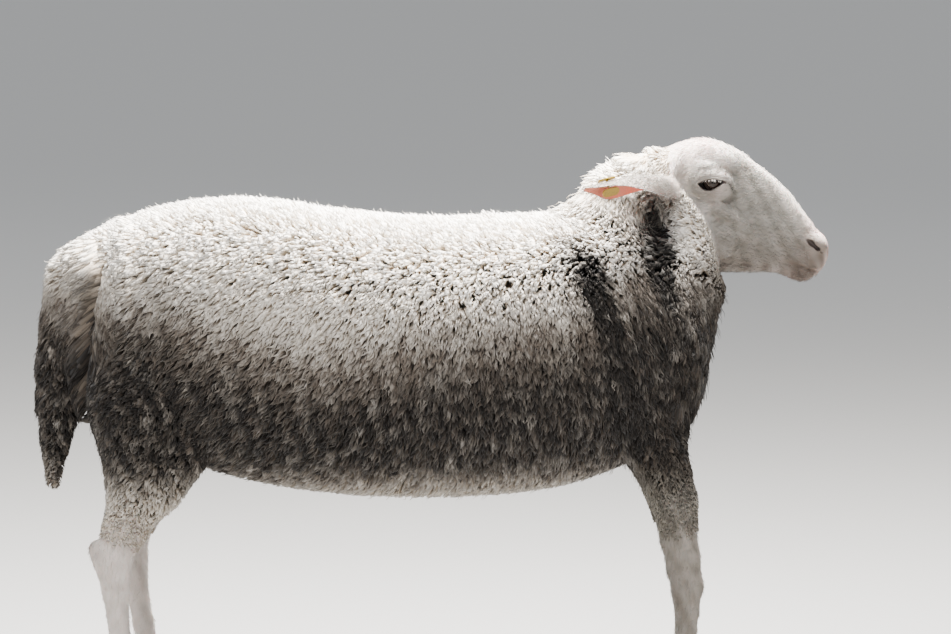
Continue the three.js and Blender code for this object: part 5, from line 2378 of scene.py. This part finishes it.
@dataclass(frozen=True)
class HornFinish:
    """Hoof horn: pale grey-brown, in layers across and fine lines down, dirty at the sole."""

    name: str = "horn"
    pale: Colour = (0.34, 0.27, 0.19)
    dark: Colour = (0.13, 0.095, 0.065)

    def material(self) -> Material:
        """Makes the finish.

        Returns:
            Its material.
        """
        nodes = Nodes(self.name)
        place = nodes.place()
        lines = nodes.noise(place * (1.0, 1.0, 0.12), 1.1 * MM, 2)
        layers = nodes.noise(place * (0.15, 0.15, 1.0), 3 * MM, 2)
        shade = layers.ramp(0.3, 0.7) * 0.6 + lines.ramp(0.3, 0.7) * 0.3
        shade = shade + nodes.parts(place)[2].ramp(18 * MM, 0.0, 0, 0.5)
        relief = lines * 0.4 + layers * 0.6
        return nodes.surface(
            Base_Color=nodes.mix(shade, self.pale, self.dark),
            Normal=nodes.bump(relief, 0.5 * MM, 0.7),
            Roughness=0.5,
            Specular_IOR_Level=0.4,
        )


@dataclass(frozen=True)
class Feet:
    """The claws and dewclaws, each as big and where the frame has it.

    A claw's own sizes are in millimetres and set its proportions alone.
    """

    sides: int = 36
    levels: int = 22
    inner_bow: float = 0.04
    toe_narrowing: float = 0.22
    rings: int = 7
    lengths: tuple[float, float] = (62, 44)  # at the sole and at the top
    widths: tuple[float, float] = (25, 22)
    heights: tuple[float, float] = (24, 40)  # at the heel and at the toe
    ahead: float = 9  # how far the sole lies ahead of the top
    spur_sides: int = 20
    spur_levels: int = 12

    def build(self) -> None:
        """Makes a piece for each claw and each dewclaw."""
        material = HornFinish().material()
        kinds = (("claw", "hoof", self.claw()), ("spur", "dewclaw", self.dewclaw()))
        feet = ((place, side) for place in LEGS for side in NAMES)
        for place, side in feet:
            for part, away in (("outer", 1), ("inner", -1)):
                name = f"{place}_{NAMES[side]}_{part}"
                for label, kind, (points, triangles) in kinds:
                    if side * away > 0:
                        points, triangles = points * (1, -1, 1), triangles[:, ::-1]
                    node = f"{kind}_{name}"
                    body = Body(self.into_box(points, node), triangles)
                    body.piece(f"{label}_{name}", material, "horn", [node])

    def claw(self) -> Surface:
        """One claw, its bowed wall towards -y.

        Each level is x = cos k / 2 and y = -|sin k|^0.75 (1 - narrowing cos k) outside the cleft
        and a slight bow inside it. Levels shrink and move back towards the top.

        Returns:
            Its points and triangles.
        """
        k = 2 * np.pi * np.arange(self.sides) / self.sides
        walls = np.linspace(0.12, 0.95, self.levels)
        share = np.concatenate([[0, 0.02, 0.06], walls, [0.985, 1.0]])[:, None]
        ahead, out = np.cos(k), -np.sin(k)
        wall = np.abs(out) ** 0.75 * (1 - self.toe_narrowing * ahead)
        across = np.where(out > 0, wall, self.inner_bow * out)
        edge = np.minimum(1, 0.93 + 1.4 * share) * np.minimum(1, 0.90 + 3 * (1 - share))
        ripple = 1 + 0.012 * np.sin(2 * np.pi * self.rings * share) * ramp(share, 0.05, 0.2)
        spans = (self.lengths, self.widths)
        length, width = ((sole + (top - sole) * share) * edge * ripple for sole, top in spans)
        width = width * (1 + 0.06 * np.sin(np.pi * share))
        x = length / 2 * ahead + self.ahead * (1 - share)
        heel, toe = self.heights
        height = heel + (toe - heel) * (ahead + 1) / 2
        rings = stacked(x, -width * across, share * height) * MM
        return tube(rings, rings[0].mean(0), rings[-1].mean(0))

    def dewclaw(self) -> Surface:
        """One dewclaw: an egg that droops back to a blunt point.

        Returns:
            Its points and triangles.
        """
        k = 2 * np.pi * np.arange(self.spur_sides) / self.spur_sides
        angle = np.linspace(0, np.pi, self.spur_levels + 1)[1:-1, None]
        blunt = np.sin(angle) * (1 - 0.25 * np.cos(angle))
        back = 0.25 * (1 + np.cos(angle))
        rings = stacked(blunt * np.cos(k) - back, blunt * np.sin(k), -np.cos(angle))
        return tube(rings, np.array([-0.5, 0, -1.0]), np.array([0.0, 0, 1.0]))

    def into_box(self, points: Array, node: str) -> Array:
        """Points stretched to fill the box of one of the frame's nodes."""
        low, high = box(node)
        share = (points - points.min(0)) / (points.max(0) - points.min(0))
        return low + share * (high - low)


# ---- the room


@dataclass(frozen=True)
class Room:
    """A plain pale floor, soft lights and a camera on the ewe's right side."""

    azimuth: float = -5.0
    elevation: float = 5.5
    distance: float = 9.5
    width: float = 1.3504  # how much of the ewe's own plane the picture spans
    right: float = 0.06035
    up: float = 0.6106
    floor: Colour = (0.27, 0.267, 0.262)  # under the ewe
    distant: Colour = (0.82, 0.81, 0.79)  # where the light no longer falls
    fading: tuple[float, float] = (1.6, 9.0)  # how far off the one turns to the other
    half_floor: float = 60
    daylight: Colour = (0.93, 0.96, 1.0)
    brightness: float = 0.5
    sensor: float = 36  # in mm
    farthest: float = 200

    def build(self) -> None:
        """Makes floor, lights, world and camera."""
        self.lay_floor()
        self.light("key", (0.2, 0.7, 3.0), (0.0, 0.0, 0.5), 1.5, 1250, (1.0, 0.975, 0.94))
        self.light("fill", (-0.6, -2.8, 4.2), (0.0, 0.0, 0.6), 2.5, 230, (0.98, 0.985, 1.0))
        world = bpy.data.worlds.new("room")
        bpy.context.scene.world = world
        world.use_nodes = True
        colour, strength = world.node_tree.nodes["Background"].inputs[:2]
        colour.default_value, strength.default_value = (*self.daylight, 1), self.brightness
        self.set_camera()

    def lay_floor(self) -> None:
        """A square floor, paler towards its edges."""
        nodes = Nodes("floor")
        x, y, _ = nodes.parts(nodes.place())
        away = ((x * x + y * y) ** 0.5).ramp(*self.fading)
        colour = nodes.mix(away, self.floor, self.distant)
        material = nodes.surface(Base_Color=colour, Roughness=0.9, Specular_IOR_Level=0.1)
        mesh = bpy.data.meshes.new("floor")
        signs = ((-1, -1), (1, -1), (1, 1), (-1, 1))
        corners = [(self.half_floor * i, self.half_floor * j, 0) for i, j in signs]
        mesh.from_pydata(corners, [], [(0, 1, 2, 3)])
        mesh.materials.append(material)
        in_scene("floor", mesh)

    def set_camera(self) -> None:
        """A camera that looks along the view's angles at a point beside the ewe's middle."""
        a, e = math.radians(self.azimuth), math.radians(self.elevation)
        right = Vector((math.cos(a), math.sin(a), 0))
        back = Vector((math.sin(a) * math.cos(e), -math.cos(a) * math.cos(e), math.sin(e)))
        target = right * self.right + back.cross(right) * self.up
        lens = bpy.data.cameras.new("camera")
        lens.sensor_width = self.sensor
        lens.lens = self.sensor * self.distance / self.width
        lens.clip_end = self.farthest
        camera = in_scene("camera", lens)
        camera.location = target + back * self.distance
        camera.rotation_euler = back.to_track_quat("Z", "Y").to_euler()
        bpy.context.scene.camera = camera

    def light(
        self, name: str, place: Triple, aim: Triple, size: float, power: float, colour: Colour
    ) -> None:
        """One square soft light.

        Args:
            name: Its name.
            place: Where it hangs.
            aim: What it faces.
            size: The length of its sides.
            power: Its power in watts.
            colour: Its colour.
        """
        lamp = bpy.data.lights.new(name, "AREA")
        lamp.size, lamp.energy, lamp.color = size, power, colour
        thing = in_scene(name, lamp)
        thing.location = place
        thing.rotation_euler = (Vector(place) - Vector(aim)).to_track_quat("Z", "Y").to_euler()


def main() -> None:
    """Builds the ewe piece by piece, and the room round it."""
    logging.basicConfig(level=logging.INFO, format="%(name)s %(relativeCreated)d ms %(message)s")
    outer = outer_forms()
    skin = Skin(skin_forms(), outer)
    body = skin.shape()
    depth = np.maximum(-outer.at(body.points), 0)
    skin.build(body)
    locks = Roots.sown(body, depth, Fleece.rooms(body, depth), seed=3)
    Fleece(locks.only(locks.depth < Fleece.deepest), outer).build()
    hairs = [Roots.sown(body, depth, Nap.rooms(body, depth), seed=4).beside_openings()]
    hairs += [Ear(side).roots() for side in NAMES]
    Nap(Roots.together(hairs)).build()
    for eye in EYES:
        EyePiece(eye).build()
    Tag().build()
    Feet().build()
    Room().build()


if __name__ == "__main__":
    main()
